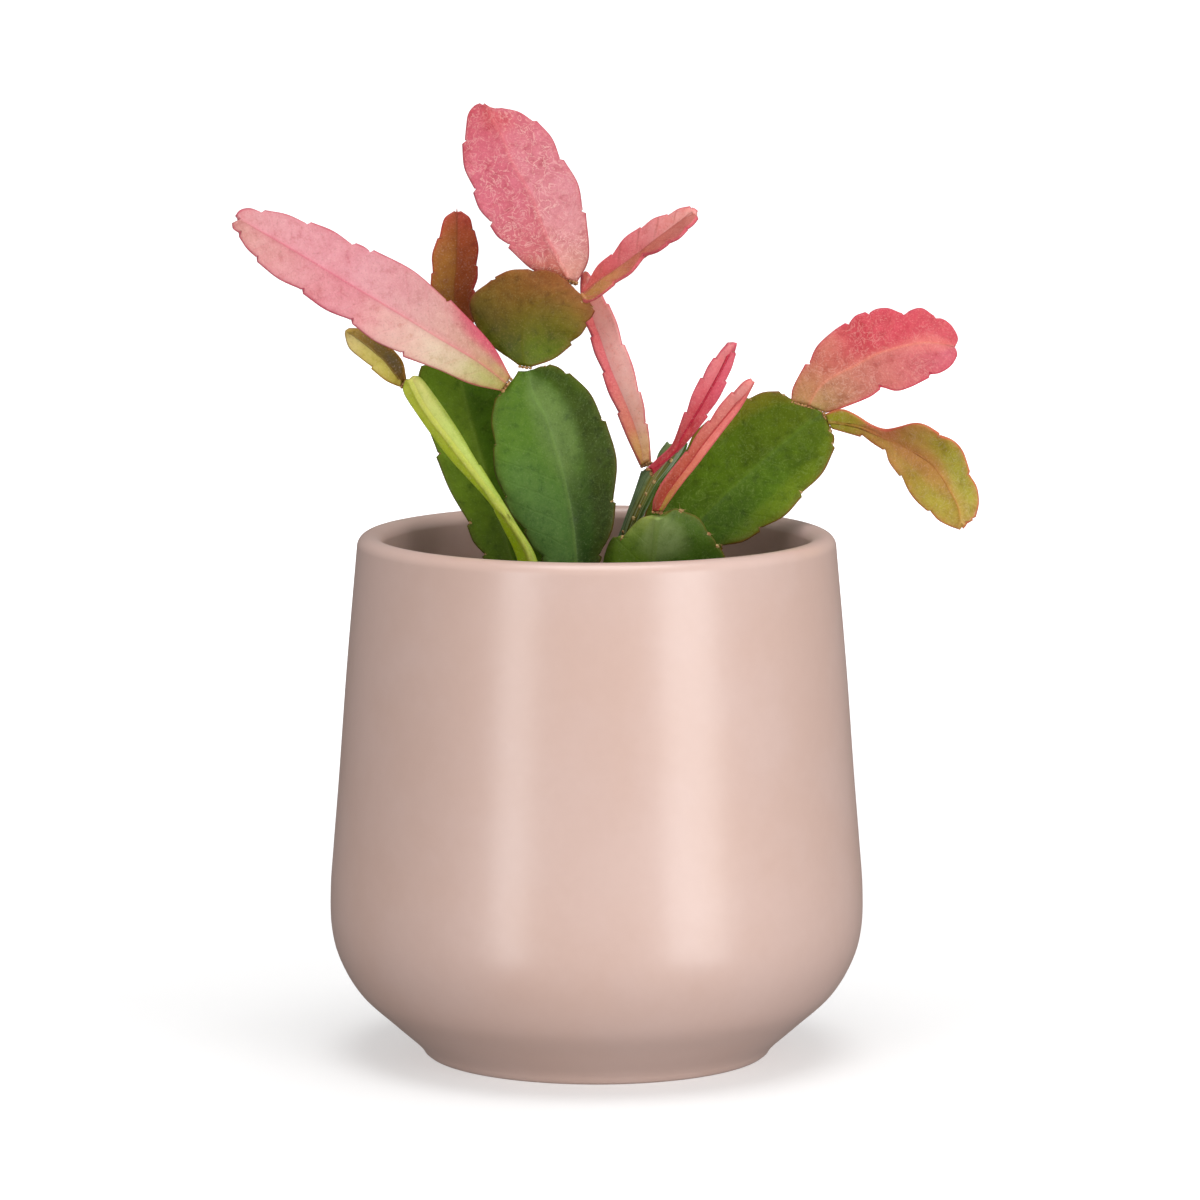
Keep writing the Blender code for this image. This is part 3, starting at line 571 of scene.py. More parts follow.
def blade_sheet(name):
    """The middle surface of a blade: its places, where each is on the blade, and its notches."""
    segment = SEGMENTS[name]
    phase = int(name[8:10])
    rib = smooth_curve(segment["midrib"], 1)
    left, right = (margin_points(segment, side) for side in ("left", "right"))
    share = nearest_shares(rib, (left[0] + right[0]) / 2)
    share[0], share[-1] = 0, 1
    least = LEAST_ADVANCE / ROWS
    for row in range(1, ROWS):
        share[row] = min(max(share[row], share[row - 1] + least), 1 - (ROWS - row) * least)
    share = smoothed(share, 8)
    middle = along(rib, share)
    step = segment.get("tooth", TOOTH) * MM / SQUARE
    columns = len(OUT)
    flat = np.zeros((ROWS + 1, 2 * columns - 1, 2))
    depth = np.zeros((ROWS + 1, 2 * columns - 1))
    rim = np.zeros_like(depth)
    reach = np.zeros_like(depth)
    for hand, (points, notches), leans in ((-1, left, segment["lean_left"]), (1, right, segment["lean_right"])):
        edge = points.copy()
        for row in notches:
            tooth = points[row - 1]
            inwards = unit(middle[row, :2] - tooth)
            onwards = unit(points[row + 1] - tooth)
            edge[row] = tooth + (inwards + NOTCH_ADVANCE * onwards) * step
        edge = smoothed(edge, segment.get("worn", 0))
        even_edge = smoothed(edge, SOFT_MARGIN_PASSES)
        lean = np.interp(share, np.linspace(0, 1, len(leans)), np.radians(leans))
        width = np.linalg.norm(even_edge - middle[:, :2], axis=1) * SQUARE / MM
        wave = WAVE * np.sin(2 * np.pi * (share * (len(notches) + 0.5) + phase * 0.37 + hand * 0.2))
        wave *= np.sin(np.pi * share) * np.minimum(1, width / 6)
        for k, out in enumerate(OUT):
            column = columns - 1 + hand * k
            near_edge = np.clip(1 - width * (1 - out) / NOTCH_REACH, 0, 1)[:, None] ** 2
            target = even_edge + (edge - even_edge) * near_edge
            flat[:, column] = middle[:, :2] + (target - middle[:, :2]) * out
            depth[:, column] = middle[:, 2] + width * out * np.tan(lean) + wave * out**2
            reach[:, column] = width * out / np.cos(lean)
            rim[:, column] = width * (1 - out) / np.cos(lean)
    inner = smoothed(depth, 8)
    inner[:, columns - 1] = depth[:, columns - 1]
    places = on_sheet(flat, inner)
    across = np.concatenate([-OUT[:0:-1], OUT])
    return dict(
        places=places,
        across=np.broadcast_to(across, depth.shape),
        share=np.broadcast_to(share[:, None], depth.shape),
        rim=rim,
        reach=reach,
        length=gone_along(rib)[-1] * SQUARE / MM,
        notches=[(row, 0) for row in left[1]] + [(row, 2 * columns - 2) for row in right[1]],
        rib=segment.get("rib", RIB_THICKNESS),
        ridge=segment.get("ridge", RIB_RIDGE),
    )


def rounded(distance, reach):
    """Rises from 0 at the edge to 1 at that reach, as a quarter circle does."""
    return np.sqrt(np.clip(1 - (1 - np.clip(distance / reach, 0, 1)) ** 2, 0, 1))


def new_object(name, mesh, surface):
    """A new smooth piece with that surface, which goes with the body."""
    made = bpy.data.objects.new(name, mesh)
    bpy.context.scene.collection.objects.link(made)
    mesh.materials.append(surface)
    mesh.shade_smooth()
    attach(made, "root")
    return made


def make_blade(name):
    """A closed blade: thick at its midrib, thin and rounded at its margin, with a raised rib on both faces."""
    sheet = blade_sheet(name)
    places = sheet["places"]
    facing = unit(np.cross(np.gradient(places, axis=1), np.gradient(places, axis=0)))
    if (facing @ AWAY).mean() > 0:
        facing = -facing
    out = np.abs(sheet["across"])
    rib_half, margin_half = sheet["rib"] / 2, MARGIN_THICKNESS / 2
    half = margin_half + (rib_half - margin_half) * (1 - out) ** 1.2
    half += sheet["ridge"] * np.exp(-((sheet["reach"] / RIB_RIDGE_REACH) ** 2))
    half *= rounded(sheet["rim"], RIM_ROUNDING)
    half_width = sheet["reach"] + sheet["rim"]
    stem = np.interp((half_width + half_width[:, ::-1]), ROUND_STEM_WIDTH, (1, 0))
    half = half * (1 - stem) + 0.9 * half_width * np.sqrt(1 - out**2) * stem
    from_base = sheet["share"] * sheet["length"]
    from_tip = (1 - sheet["share"]) * sheet["length"]
    half *= rounded(from_base, RIM_ROUNDING) * rounded(from_tip, RIM_ROUNDING)
    rows, columns = half.shape
    grid = np.arange(rows * columns).reshape(rows, columns)
    inner = np.zeros((rows, columns), bool)
    inner[1:-1, 1:-1] = True
    back = grid.copy()
    back[inner] = grid.size + np.arange(inner.sum())
    pucker = np.array([noise.noise(Vector(place) * PUCKER_SCALE) for place in places.reshape(-1, 3)])
    pucker = pucker.reshape(rows, columns) * PUCKER * np.minimum(1, half)
    front_places = places + facing * ((half + pucker) * MM)[..., None]
    back_places = places - facing * ((half - pucker) * MM)[..., None]
    corners = np.concatenate([front_places.reshape(-1, 3), back_places[inner]])
    faces = []
    for index, flip in ((grid, False), (back, True)):
        a, b, c, d = index[:-1, :-1], index[:-1, 1:], index[1:, 1:], index[1:, :-1]
        faces.append(np.stack([a, d, c, b] if flip else [a, b, c, d], axis=-1).reshape(-1, 4))
    faces = np.concatenate(faces)
    first = faces[(rows // 2) * (columns - 1) + columns // 2]
    turn = np.cross(corners[first[1]] - corners[first[0]], corners[first[2]] - corners[first[0]])
    if turn @ facing[rows // 2, columns // 2] < 0:
        faces = faces[:, ::-1]
    sheet["front"] = front_places
    mesh = bpy.data.meshes.new(name)
    mesh.from_pydata(corners.tolist(), [], faces.tolist())
    for label, values in (("across", "across"), ("share", "share"), ("rim", "rim"), ("reach", "reach")):
        layer = mesh.attributes.new(label, "FLOAT", "POINT")
        both = np.concatenate([sheet[values].reshape(-1), sheet[values][inner]])
        layer.data.foreach_set("value", both.astype(np.float32))
    layer = mesh.attributes.new("behind", "FLOAT", "POINT")
    layer.data.foreach_set("value", np.repeat([0, 1], [grid.size, inner.sum()]).astype(np.float32))
    made = new_object("skin_" + name, mesh, blade_surface(name, sheet["length"]))
    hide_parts(name)
    return sheet, facing


def joined(name, parts, surface):
    """One piece made of several meshes, given as (corners, faces)."""
    corners, faces = [], []
    for part_corners, part_faces in parts:
        faces += [[index + len(corners) for index in face] for face in part_faces]
        corners += list(part_corners)
    mesh = bpy.data.meshes.new(name)
    mesh.from_pydata(corners, [], faces)
    return new_object(name, mesh, surface)


def ball(detail):
    """The corners and faces of a ball of radius 1."""
    shape = bmesh.new()
    bmesh.ops.create_icosphere(shape, subdivisions=detail, radius=1)
    found = [tuple(v.co) for v in shape.verts], [[v.index for v in face.verts] for face in shape.faces]
    shape.free()
    return found


def crumb(centre, radii, turn, rough, seed):
    """A rough lump: a ball stretched, turned and dented."""
    corners, faces = CRUMB_BALL
    moved = []
    for corner in corners:
        place = Vector(corner)
        dent = 1 + rough * noise.noise(place * 1.6 + Vector((seed, 0, 0)))
        place = Vector((place.x * radii[0], place.y * radii[1], place.z * radii[2])) * dent
        place.rotate(turn)
        moved.append(tuple(Vector(centre) + place))
    return moved, faces


def bristle(root, along_it, length, width):
    """A thin three-sided spike."""
    direction = Vector(along_it).normalized()
    side = direction.orthogonal().normalized()
    other = direction.cross(side)
    ring = []
    for step in range(3):
        angle = step * 2 * math.pi / 3
        ring.append(tuple(Vector(root) + (side * math.cos(angle) + other * math.sin(angle)) * width))
    tip = tuple(Vector(root) + direction * length)
    return [*ring, tip], [[0, 1, 3], [1, 2, 3], [2, 0, 3], [2, 1, 0]]


class Surface:
    """A material, with short ways to add and join its nodes."""

    def __init__(self, name):
        self.material = bpy.data.materials.new(name)
        self.material.use_nodes = True
        self.tree = self.material.node_tree
        self.shader = self.tree.nodes["Principled BSDF"]
        self.object_place = self.add("ShaderNodeTexCoord").outputs["Object"]

    def add(self, kind, **settings):
        node = self.tree.nodes.new(kind)
        for label, value in settings.items():
            setattr(node, label, value)
        return node

    def put(self, value, socket):
        """Joins the socket to another one, or sets it to a value."""
        if isinstance(value, bpy.types.NodeSocket):
            self.tree.links.new(value, socket)
        else:
            socket.default_value = value

    def set(self, **values):
        for label, value in values.items():
            self.put(value, self.shader.inputs[label.replace("_", " ").title().replace("Ior", "IOR")])

    def attribute(self, label):
        return self.add("ShaderNodeAttribute", attribute_name=label).outputs["Fac"]

    def sum(self, operation, *values):
        node = self.add("ShaderNodeMath", operation=operation)
        for value, socket in zip(values, node.inputs):
            self.put(value, socket)
        return node.outputs[0]

    def map(self, value, low, high, start=0.0, end=1.0):
        """Turns low to high into start to end with soft shoulders, and holds it there outside."""
        node = self.add("ShaderNodeMapRange", interpolation_type="SMOOTHSTEP")
        for item, socket in zip((value, low, high, start, end), node.inputs):
            self.put(item, socket)
        return node.outputs[0]

    def mix(self, share, first, second, blend="MIX"):
        node = self.add("ShaderNodeMix", data_type="RGBA", blend_type=blend)
        colours = [socket for socket in node.inputs if socket.type == "RGBA"]
        self.put(share, node.inputs[0])
        self.put(first, colours[0])
        self.put(second, colours[1])
        return next(socket for socket in node.outputs if socket.type == "RGBA")

    def ramp(self, value, stops):
        node = self.add("ShaderNodeValToRGB")
        node.color_ramp.interpolation = "B_SPLINE" if len(stops) > 3 else "EASE"
        elements = node.color_ramp.elements
        while len(elements) < len(stops):
            elements.new(0.5)
        for element, (place, colour) in zip(elements, stops):
            element.position = place
            element.color = rgb(colour)
        self.put(value, node.inputs[0])
        return node.outputs[0]

    def noise(self, scale, detail=3, roughness=0.55, distortion=0, place=None):
        node = self.add("ShaderNodeTexNoise")
        self.put(place or self.object_place, node.inputs["Vector"])
        for label, value in zip(
            ("Scale", "Detail", "Roughness", "Distortion"), (scale, detail, roughness, distortion)
        ):
            node.inputs[label].default_value = value
        return node.outputs["Fac"]

    def vector(self, *values):
        node = self.add("ShaderNodeCombineXYZ")
        for value, socket in zip(values, node.inputs):
            self.put(value, socket)
        return node.outputs[0]

    def bump(self, height, distance, strength=1.0, under=None):
        node = self.add("ShaderNodeBump")
        node.inputs["Distance"].default_value = distance
        node.inputs["Strength"].default_value = strength
        self.put(height, node.inputs["Height"])
        if under:
            self.put(under, node.inputs["Normal"])
        return node.outputs["Normal"]


def blade_surface(name, length):
    """The waxy skin of a segment: two coloured halves, soft washes, a midrib, a thin coloured margin, veins and
    speckle, with painted sheen in some pale washes and dots.
    """
    look = LOOKS[name]
    skin = Surface(name[:10] + "_skin")
    across, share, rim, reach = (skin.attribute(label) for label in ("across", "share", "rim", "reach"))
    pale = rgb(look.get("pale", (250, 222, 205)))
    blotch = skin.noise(150, 3, 0.6)
    cloud = skin.noise(520, 4, 0.65)
    drift = skin.sum("MULTIPLY_ADD", blotch, 0.16, -0.08)
    place = skin.sum("ADD", share, drift)
    blend = look.get("blend", 0.06)
    side = skin.map(skin.sum("ADD", across, skin.sum("MULTIPLY", drift, 0.6)), -blend, blend)
    colour = skin.mix(side, skin.ramp(place, look["left"]), skin.ramp(place, look["right"]))

    # Soft washes of colour. Most are the skin's own colour; the pale washes near the tips of 07 and 16 are painted
    # sheen.
    for middle_across, middle_share, reach_across, reach_share, wash, strength in look["washes"]:
        aside = skin.sum("DIVIDE", skin.sum("SUBTRACT", across, middle_across), reach_across)
        onward = skin.sum("DIVIDE", skin.sum("SUBTRACT", place, middle_share), reach_share)
        spread = skin.sum("ADD", skin.sum("POWER", aside, 2), skin.sum("POWER", onward, 2))
        colour = skin.mix(skin.map(spread, 0, 1.4, strength, 0), colour, rgb(wash))

    # Mottling: broad light and dark clouds, then finer ones.
    colour = skin.mix(skin.map(blotch, 0.4, 0.7, 0, 0.3), colour, rgb((96, 96, 96)), "SOFT_LIGHT")
    colour = skin.mix(skin.map(cloud, 0.45, 0.75, 0, 0.5), colour, rgb((220, 220, 220)), "SOFT_LIGHT")
    colour = skin.mix(skin.map(cloud, 0.5, 0.25, 0, 0.5), colour, rgb((70, 70, 70)), "SOFT_LIGHT")

    # A fine pale net, where two winding patterns come near their middle value.
    winding = skin.noise(430, 3, 0.6, 1.4)
    line = skin.map(skin.sum("ABSOLUTE", skin.sum("SUBTRACT", winding, 0.5)), 0, 0.04, 1, 0)
    line = skin.sum("MULTIPLY", line, skin.map(blotch, 0.35, 0.65, 0.3, 1))
    colour = skin.mix(skin.sum("MULTIPLY", line, look["net"] * 0.42), colour, pale)

    # Veins run out from the midrib and on towards the tip.
    onward = skin.sum("MULTIPLY", share, length)
    slant = skin.sum("MULTIPLY_ADD", reach, -0.75, onward)
    warped = skin.sum("ADD", slant, skin.sum("MULTIPLY", cloud, 1.2))
    wave = skin.sum("SINE", skin.sum("MULTIPLY", warped, 2 * math.pi / VEIN_SPACING))
    vein = skin.sum("MULTIPLY", skin.map(wave, 0.88, 1), skin.map(reach, 0.4, 2))
    veins = look.get("veins", 0.12)
    colour = skin.mix(skin.sum("MULTIPLY", vein, veins * 0.5), colour, rgb(look["rib"]))

    # The midrib is a fine line in a soft band, and the margin a thin uneven line.
    line = look.get("line", 0.4)
    colour = skin.mix(skin.map(reach, 0, 1.7, 0.4 * line, 0), colour, rgb(look["rib"]))
    rib_line = skin.sum("MULTIPLY", skin.map(reach, 0.08, 0.4, line, 0), skin.map(cloud, 0.3, 0.55, 0.5, 1))
    colour = skin.mix(skin.sum("MULTIPLY", rib_line, skin.map(share, 1, 0.9)), colour, rgb(look["rib"]))
    edge_width = skin.map(blotch, 0.3, 0.7, 0.2, 0.5)
    colour = skin.mix(skin.map(rim, edge_width, 0.05, 0, 0.7), colour, rgb(look["rim"]))
    colour = skin.mix(skin.map(rim, 1.6, 0.2, 0, 0.16), colour, rgb(look["rim"]))

    if "stripes" in look:
        lengthwise = skin.vector(skin.sum("MULTIPLY", across, 9), skin.sum("MULTIPLY", share, 2.5), 0)
        stripe = skin.noise(1, 3, 0.6, 0.3, lengthwise)
        colour = skin.mix(skin.map(stripe, 0.48, 0.7, 0, look["stripes"]), colour, rgb((150, 165, 140)))
        colour = skin.mix(skin.map(stripe, 0.5, 0.3, 0, look["stripes"]), colour, rgb((36, 52, 24)))

    # Pinprick dots, pale and dark. The pale ones are the skin's fine speckle and, on the green segments, also painted
    # sheen: the whitish glints of the waxy bloom.
    dots = skin.noise(3100, 2, 0.5)
    colour = skin.mix(skin.map(dots, 0.56, 0.72, 0, 0.13), colour, pale)
    colour = skin.mix(skin.map(dots, 0.44, 0.28, 0, 0.16), colour, rgb((110, 95, 70)), "MULTIPLY")

    fine = skin.noise(1500, 3, 0.6)
    height = skin.sum("ADD", skin.sum("MULTIPLY", cloud, 1.4), skin.sum("MULTIPLY", fine, 0.4))
    height = skin.sum("SUBTRACT", height, skin.sum("MULTIPLY", vein, 0.5))
    skin.set(
        base_color=colour,
        roughness=skin.map(cloud, 0.3, 0.7, 0.36, 0.54),
        normal=skin.bump(height, 0.00012, 0.55),
        subsurface_weight=look.get("glow", 0.1),
        subsurface_radius=(1.0, 0.5, 0.4),
        subsurface_scale=0.001,
        coat_weight=0.03,
        coat_roughness=0.3,
        specular_ior_level=look.get("gloss", 0.2),
    )
    return skin.material


def plain_surface(name, colour, other, scale, roughness=0.6):
    """A small part's own colour, with a second one in patches."""
    made = Surface(name)
    patch = made.noise(scale, 3, 0.6)
    made.set(
        base_color=made.mix(made.map(patch, 0.38, 0.62), rgb(colour), rgb(other)),
        roughness=made.map(patch, 0.3, 0.7, roughness, roughness + 0.15),
        normal=made.bump(patch, 0.00008, 0.5),
    )
    return made.material


def ceramic():
    """Satin glaze of a pale beige pink, a little darker towards the foot, with faint clouds."""
    made = Surface("pot_ceramic")
    cloud = made.noise(34, 4, 0.6)
    grain = made.noise(420, 3, 0.6)
    height = made.add("ShaderNodeSeparateXYZ")
    made.put(made.object_place, height.inputs[0])
    level = height.outputs[2]
    colour = made.mix(made.map(cloud, 0.35, 0.65), rgb(GLAZE), rgb(GLAZE_CLOUD))
    colour = made.mix(made.map(level, 0.03, 0.0, 0, 0.3), colour, rgb(GLAZE_FOOT))
    colour = made.mix(made.map(grain, 0.3, 0.7, 0, 0.05), colour, rgb(GLAZE_FOOT))
    made.set(
        base_color=colour,
        roughness=0.3,
        normal=made.bump(cloud, 0.0006, 0.2),
        coat_weight=0.1,
        coat_roughness=0.22,
        specular_ior_level=0.5,
    )
    return made.material


def potting_mix():
    """Dark, damp peat with paler fibre and grit; tone says how pale each crumb is."""
    made = Surface("potting_mix")
    tone = made.attribute("tone")
    grain = made.noise(900, 5, 0.7)
    patch = made.noise(170, 3, 0.6)
    colour = made.ramp(grain, [(0.25, (32, 22, 16)), (0.5, (66, 48, 34)), (0.75, (112, 86, 62))])
    colour = made.mix(made.map(patch, 0.4, 0.7, 0, 0.5), colour, rgb((44, 34, 28)))
    colour = made.mix(made.map(tone, 0.3, 0.6, 0, 0.7), colour, rgb((118, 84, 54)))
    colour = made.mix(made.map(tone, 0.75, 0.9, 0, 0.85), colour, rgb((214, 205, 190)))
    made.set(
        base_color=colour,
        roughness=made.map(grain, 0.3, 0.7, 0.82, 0.97),
        normal=made.bump(grain, 0.0005, 0.8),
        specular_ior_level=0.25,
    )
    return made.material


def turned(name, profile, steps, surface):
    """A closed solid turned about Z. The profile of (radius, height) starts and ends on the axis."""
    ring = np.arange(steps) * 2 * math.pi / steps
    corners = [(0, 0, profile[0][1])]
    for radius, height in profile[1:-1]:
        corners += [(radius * math.cos(angle), radius * math.sin(angle), height) for angle in ring]
    corners.append((0, 0, profile[-1][1]))
    last = len(corners) - 1
    faces = []
    for step in range(steps):
        after = (step + 1) % steps
        faces.append((0, 1 + step, 1 + after))
        for row in range(len(profile) - 3):
            low, high = 1 + row * steps, 1 + (row + 1) * steps
            faces.append((low + step, high + step, high + after, low + after))
        faces.append((last, last - steps + after, last - steps + step))
    mesh = bpy.data.meshes.new(name)
    mesh.from_pydata(corners, [], faces)
    shape = bmesh.new()
    shape.from_mesh(mesh)
    bmesh.ops.recalc_face_normals(shape, faces=shape.faces[:])
    shape.to_mesh(mesh)
    shape.free()
    return new_object(name, mesh, surface)


def pot_inside(spacing):
    """The inner side from the floor's edge up to the lip, as (radius, height)."""
    shape = [
        (24 * MM, FLOOR),
        (33 * MM, FLOOR + 1.5 * MM),
        (40 * MM, FLOOR + 8 * MM),
        (POT_WIDTH / 2 - WALL, 0.30 * POT_HEIGHT),
        (0.964 * POT_WIDTH / 2 - WALL, 0.50 * POT_HEIGHT),
        (MOUTH_WIDTH / 2, POT_HEIGHT - LIP_RADIUS),
    ]
    return [tuple(point) for point in smooth_curve(shape, spacing)]


def make_pot():
    half = POT_WIDTH / 2
    lip_height = POT_HEIGHT - LIP_RADIUS
    lip_middle = MOUTH_WIDTH / 2 + LIP_RADIUS
    shoulder = [(lip_middle + LIP_RADIUS, lip_height), (0.933 * half, 0.75 * POT_HEIGHT), (0.964 * half, 0.54 * POT_HEIGHT)]
    belly = [
        (0.964 * half, 0.54 * POT_HEIGHT),
        (0.985 * half, 0.41 * POT_HEIGHT),
        (0.998 * half, 0.32 * POT_HEIGHT),
        (0.995 * half, 0.245 * POT_HEIGHT),
        (0.965 * half, 0.185 * POT_HEIGHT),
        (0.893 * half, 0.122 * POT_HEIGHT),
        (0.775 * half, 0.066 * POT_HEIGHT),
        (0.688 * half, 0.027 * POT_HEIGHT),
        (0.660 * half, 0.012 * POT_HEIGHT),
        (0.650 * half, 0.004 * POT_HEIGHT),
        (0.640 * half, 0),
    ]
    lip = []
    for step in range(1, LIP_STEPS):
        angle = math.pi * (1 - step / LIP_STEPS)
        lip.append((lip_middle + LIP_RADIUS * math.cos(angle), lip_height + LIP_RADIUS * math.sin(angle)))
    outside = [tuple(point) for point in smooth_curve(shoulder + belly[1:], 1.2 * MM)]
    profile = [(0, FLOOR), *pot_inside(2 * MM), *lip, *outside, (0, 0)]
    made = turned("glazed_pot", profile, POT_STEPS, ceramic())
    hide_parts("pot")


def soil_height(place):
    """The uneven top of the soil."""
    x, y = place
    away = math.hypot(x, y) / SOIL_SPAN
    rough = noise.fractal(Vector((x, y, 0)) * 160, 0.9, 2.1, 4) * SOIL_RELIEF * 0.45
    return SOIL_LEVEL + (SOIL_RELIEF * 0.6 + rough) * (1 - away**4) - 0.3 * SOIL_RELIEF


def make_soil(surface):
    """Potting mix: an uneven top on a plain body that fills the pot below it."""
    below = [(radius - SOIL_GAP, height + SOIL_GAP) for radius, height in pot_inside(4 * MM)]
    below = [point for point in below if point[1] < SOIL_LEVEL - 2 * MM]
    edge = below[-1][0] - SOIL_GAP
    rings = [(edge * step / SOIL_RINGS, SOIL_LEVEL) for step in range(SOIL_RINGS + 1)]
    profile = [*rings, *reversed(below), (0, FLOOR + SOIL_GAP)]
    made = turned("potting_mix", profile, SOIL_STEPS, surface)
    for vertex in made.data.vertices:
        if vertex.co.z > SOIL_LEVEL - 0.1 * MM:
            vertex.co.z = soil_height(vertex.co[:2])
    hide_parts("soil")


def make_crumbs(surface):
    """Crumbs of peat, chips of bark and a few grains of pale grit, half sunk in the soil."""
    chance = random.Random(7)
    parts = []
    tones = []
    for index in range(CRUMBS):
        angle = chance.uniform(0, 2 * math.pi)
        size = chance.choice((0.35, 0.45, 0.6, 0.8, 1.2)) * MM
        away = math.sqrt(chance.random()) * (SOIL_SPAN - 2.2 * MM)
        spot = (away * math.cos(angle), away * math.sin(angle))
        radii = [size * chance.uniform(0.6, 1.3), size * chance.uniform(0.5, 0.9), size * chance.uniform(0.35, 0.6)]
        turn = Vector((0, 0, 1)).rotation_difference(
            Vector((chance.uniform(-0.4, 0.4), chance.uniform(-0.4, 0.4), 1))
        ).to_matrix()
        turn.rotate(Vector((1, 0, 0)).rotation_difference(Vector((math.cos(angle * 7), math.sin(angle * 7), 0))))
        corners, faces = crumb((*spot, soil_height(spot) + 0.1 * MM), radii, turn, 0.35, index)
        parts.append((corners, faces))
        tones += [chance.random() ** 1.5] * len(corners)
    made = joined("soil_crumbs", parts, surface)
    layer = made.data.attributes.new("tone", "FLOAT", "POINT")
    layer.data.foreach_set("value", tones)


def make_areoles(name, sheet, facing):
    """A woolly tuft with a few short bristles in each notch of the margin."""
    size = LOOKS[name]["areole"] * MM
    if not size:
        return
    chance = random.Random(name)
    places = sheet["places"]
    wool, bristles = [], []
    for row, column in sheet["notches"]:
        inner = 3 if column == 0 else -3
        outwards = unit(places[row, column] - places[row, column + inner])
        root = places[row, column] - outwards * 0.1 * MM
        scaled = size * chance.uniform(0.7, 1.15)
        turn = Vector((0, 0, 1)).rotation_difference(Vector(outwards)).to_matrix()
        radii = (scaled * 0.6, scaled * 0.6, scaled * 0.75)
        wool.append(crumb(root, radii, turn, 0.5, chance.random() * 50))
        for _ in range(chance.choice((3, 4, 5))):
            scatter = [chance.gauss(0, 0.45) for _ in range(3)]
            direction = unit(outwards + scatter)
            bristles.append(bristle(root, direction, scaled * chance.uniform(1.1, 2.0), 0.05 * MM))
    for across, share in LOOKS[name].get("tufts", ()):
        row = int(np.abs(sheet["share"][:, 0] - share).argmin())
        column = int(np.abs(sheet["across"][row] - across).argmin())
        root = sheet["front"][row, column]
        turn = Vector((0, 0, 1)).rotation_difference(Vector(facing[row, column])).to_matrix()
        scaled = size * chance.uniform(0.9, 1.3)
        wool.append(crumb(root, (scaled * 0.7, scaled * 0.9, scaled * 0.6), turn, 0.5, chance.random() * 50))
    tufts = joined("wool_" + name, wool, WOOL)
    spines = joined("bristles_" + name, bristles, BRISTLE)


def make_joint(name, sheet):
    """The corky, scalloped rim where a segment has grown from the one that carries it."""
    places = sheet["places"]
    middle = places.shape[1] // 2
    onward = unit(places[6, middle] - places[0, middle])
    base = np.stack([np.interp(np.linspace(0, 1, 60), np.linspace(0, 1, len(row)), row) for row in places[0].T], axis=1)
    gone = gone_along(base)
    count = max(3, round(gone[-1] / JOINT_STEP))
    chance = random.Random(name)
    crumbs = []
    for spot in along(base, (np.arange(count) + 0.5) / count):
        size = JOINT_CRUMB * chance.uniform(0.75, 1.2)
        turn = Vector((0, 0, 1)).rotation_difference(Vector(onward)).to_matrix()
        crumbs.append(crumb(spot - onward * 0.25 * MM, (size, size, 0.8 * size), turn, 0.5, chance.random() * 50))
    made = joined("joint_" + name, crumbs, JOINT)


def make_spike(name, sheet):
    """The small soft point that is left at the tip."""
    places = sheet["places"]
    middle = places.shape[1] // 2
    tip = places[-1, middle]
    onward = unit(tip - places[-8, middle])
    spike = bristle(tip - onward * 0.4 * MM, onward, 1.5 * MM, 0.22 * MM)
    made = joined("point_" + name, [spike], SPIKE)


def area_light(name, place, size, power, target=(0, 0, 0.08)):
    """A soft box of that width and height, which faces the target."""
    light = bpy.data.lights.new(name, "AREA")
    light.shape = "RECTANGLE"
    light.size, light.size_y = size
    light.energy = power
    made = bpy.data.objects.new(name, light)
    made.location = place
    made.rotation_euler = (Vector(target) - Vector(place)).to_track_quat("-Z", "Y").to_euler()
    bpy.context.scene.collection.objects.link(made)
    return made


def glowing(name, colour, strength):
    """A material that shines evenly."""
    made = Surface(name)
    made.set(base_color=rgb((0, 0, 0)), emission_color=rgb(colour), emission_strength=strength, roughness=1.0)
    return made.material


def stage_piece(name, corners, faces, surface):
    """A piece of the studio. The camera sees it, and it throws no light on the object."""
    mesh = bpy.data.meshes.new(name)
    mesh.from_pydata(corners, [], faces)
    mesh.materials.append(surface)
    made = bpy.data.objects.new(name, mesh)
    bpy.context.scene.collection.objects.link(made)
    made.visible_diffuse = False
    made.visible_glossy = False
    made.visible_transmission = False
    made.visible_shadow = False
    return made


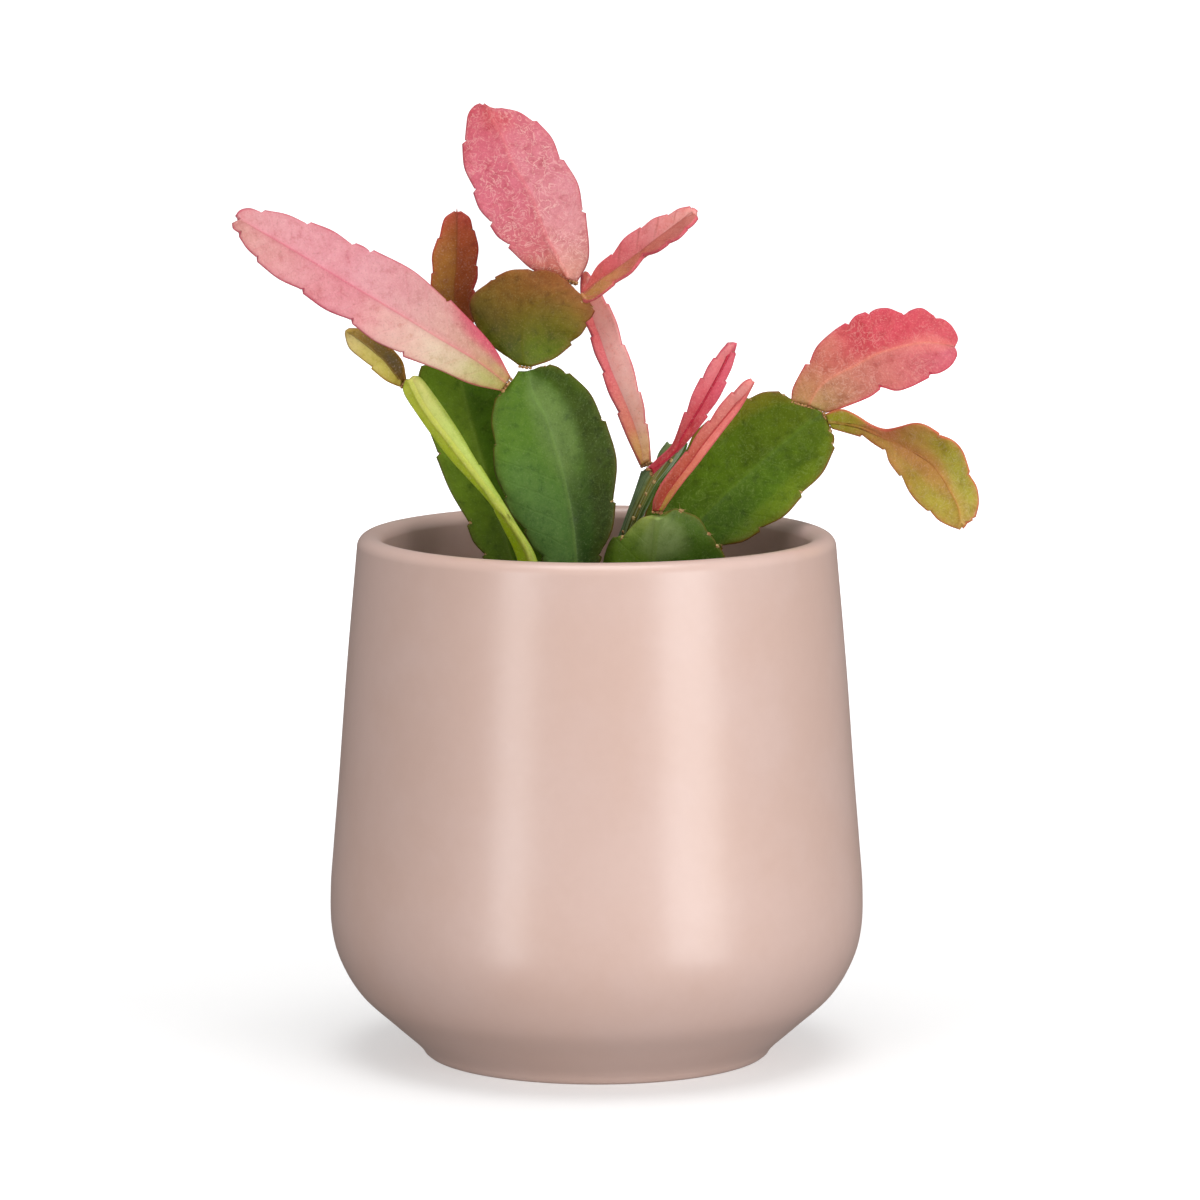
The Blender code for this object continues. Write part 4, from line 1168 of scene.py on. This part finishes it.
def make_studio():
    """A white floor and backdrop, soft light from all round, and two tall soft boxes in front."""
    reach = STUDIO_REACH
    square = [(-reach, -reach, 0), (reach, -reach, 0), (reach, reach, 0), (-reach, reach, 0)]
    paper = Surface("floor_paper")
    grain = paper.noise(40, 2, 0.5)
    away = paper.add("ShaderNodeVectorMath", operation="LENGTH")
    paper.put(paper.object_place, away.inputs[0])
    paper.set(
        base_color=paper.mix(grain, (FLOOR_TONE,) * 3 + (1,), (1.03 * FLOOR_TONE,) * 3 + (1,)),
        emission_color=(1, 1, 1, 1),
        emission_strength=paper.map(away.outputs["Value"], 0.05, 0.8, FLOOR_GLOW, FAR_FLOOR_GLOW),
        roughness=1.0,
        specular_ior_level=0.0,
    )
    stage_piece("floor", square, [(0, 1, 2, 3)], paper.material)
    walls = square + [(x, y, reach) for x, y, _ in square]
    sides = [(0, 1, 5, 4), (1, 2, 6, 5), (2, 3, 7, 6), (3, 0, 4, 7), (4, 5, 6, 7)]
    stage_piece("backdrop", walls, sides, glowing("backdrop_white", (255, 255, 255), 1.0))

    world = bpy.data.worlds.new("studio")
    world.use_nodes = True
    bpy.context.scene.world = world
    tree = world.node_tree
    place = tree.nodes.new("ShaderNodeTexCoord").outputs["Generated"]
    height = tree.nodes.new("ShaderNodeSeparateXYZ")
    tree.links.new(place, height.inputs[0])
    strength = None
    ranges = (
        (height.outputs[2], (-0.4, 0.4, LIGHT_BELOW, LIGHT_ABOVE)),
        (height.outputs[1], (-0.1, 0.6, 1, LIGHT_BEHIND)),
        (height.outputs[0], (-0.9, 0.9, LIGHT_LEFT, LIGHT_RIGHT)),
    )
    for value, limits in ranges:
        level = tree.nodes.new("ShaderNodeMapRange")
        level.interpolation_type = "SMOOTHSTEP"
        tree.links.new(value, level.inputs[0])
        for limit, socket in zip(limits, list(level.inputs)[1:]):
            socket.default_value = limit
        product = tree.nodes.new("ShaderNodeMath")
        product.operation = "MULTIPLY"
        tree.links.new(level.outputs[0], product.inputs[0])
        if strength:
            tree.links.new(strength, product.inputs[1])
        else:
            product.inputs[1].default_value = 1
        strength = product.outputs[0]
    background = tree.nodes["Background"]
    background.inputs["Color"].default_value = (1, 1, 1, 1)
    tree.links.new(strength, background.inputs["Strength"])

    sun = bpy.data.lights.new("overhead", "SUN")
    sun.energy = OVERHEAD_LIGHT
    sun.angle = math.radians(40)
    overhead = bpy.data.objects.new("overhead", sun)
    overhead.rotation_euler = (*[math.radians(tilt) for tilt in OVERHEAD_TILT], 0)
    bpy.context.scene.collection.objects.link(overhead)

    for name, box in (("left_box", LEFT_BOX), ("right_box", RIGHT_BOX)):
        angle = math.radians(box["azimuth"])
        place = (BOX_DISTANCE * math.sin(angle), -BOX_DISTANCE * math.cos(angle), BOX_HEIGHT)
        area_light(name, place, box["size"], box["power"])
    behind = area_light("back_box", (0, BOX_DISTANCE, 0.4), (1.2, 1.0), BACK_BOX)
    behind.visible_glossy = False


def make_camera():
    lens = bpy.data.cameras.new("camera")
    lens.lens = LENS
    lens.sensor_width = SENSOR
    lens.clip_end = 60
    camera = bpy.data.objects.new("camera", lens)
    camera.location = Vector(SHEET_PLACE) - Vector(AWAY) * SIGHT_LENGTH
    camera.rotation_euler = (math.pi / 2 - SIGHT_FALL, 0, 0)
    bpy.context.scene.collection.objects.link(camera)
    bpy.context.scene.camera = camera


bpy.context.scene.view_settings.view_transform = "Standard"
CRUMB_BALL = ball(2)
WOOL = plain_surface("areole_wool", (196, 168, 110), (150, 100, 60), 2600, 0.8)
BRISTLE = plain_surface("areole_bristle", (170, 122, 66), (214, 180, 120), 900, 0.5)
JOINT = plain_surface("joint_cork", (132, 84, 44), (206, 160, 104), 2600, 0.7)
SPIKE = plain_surface("soft_point", (214, 120, 112), (180, 84, 70), 1800, 0.6)

make_camera()
make_studio()
make_pot()
soil_surface = potting_mix()
make_soil(soil_surface)
make_crumbs(soil_surface)
for name in SEGMENTS:
    sheet, facing = make_blade(name)
    make_areoles(name, sheet, facing)
    if name not in ROOTED:
        make_joint(name, sheet)
    if name == "segment_03_small_brown":
        make_spike(name, sheet)
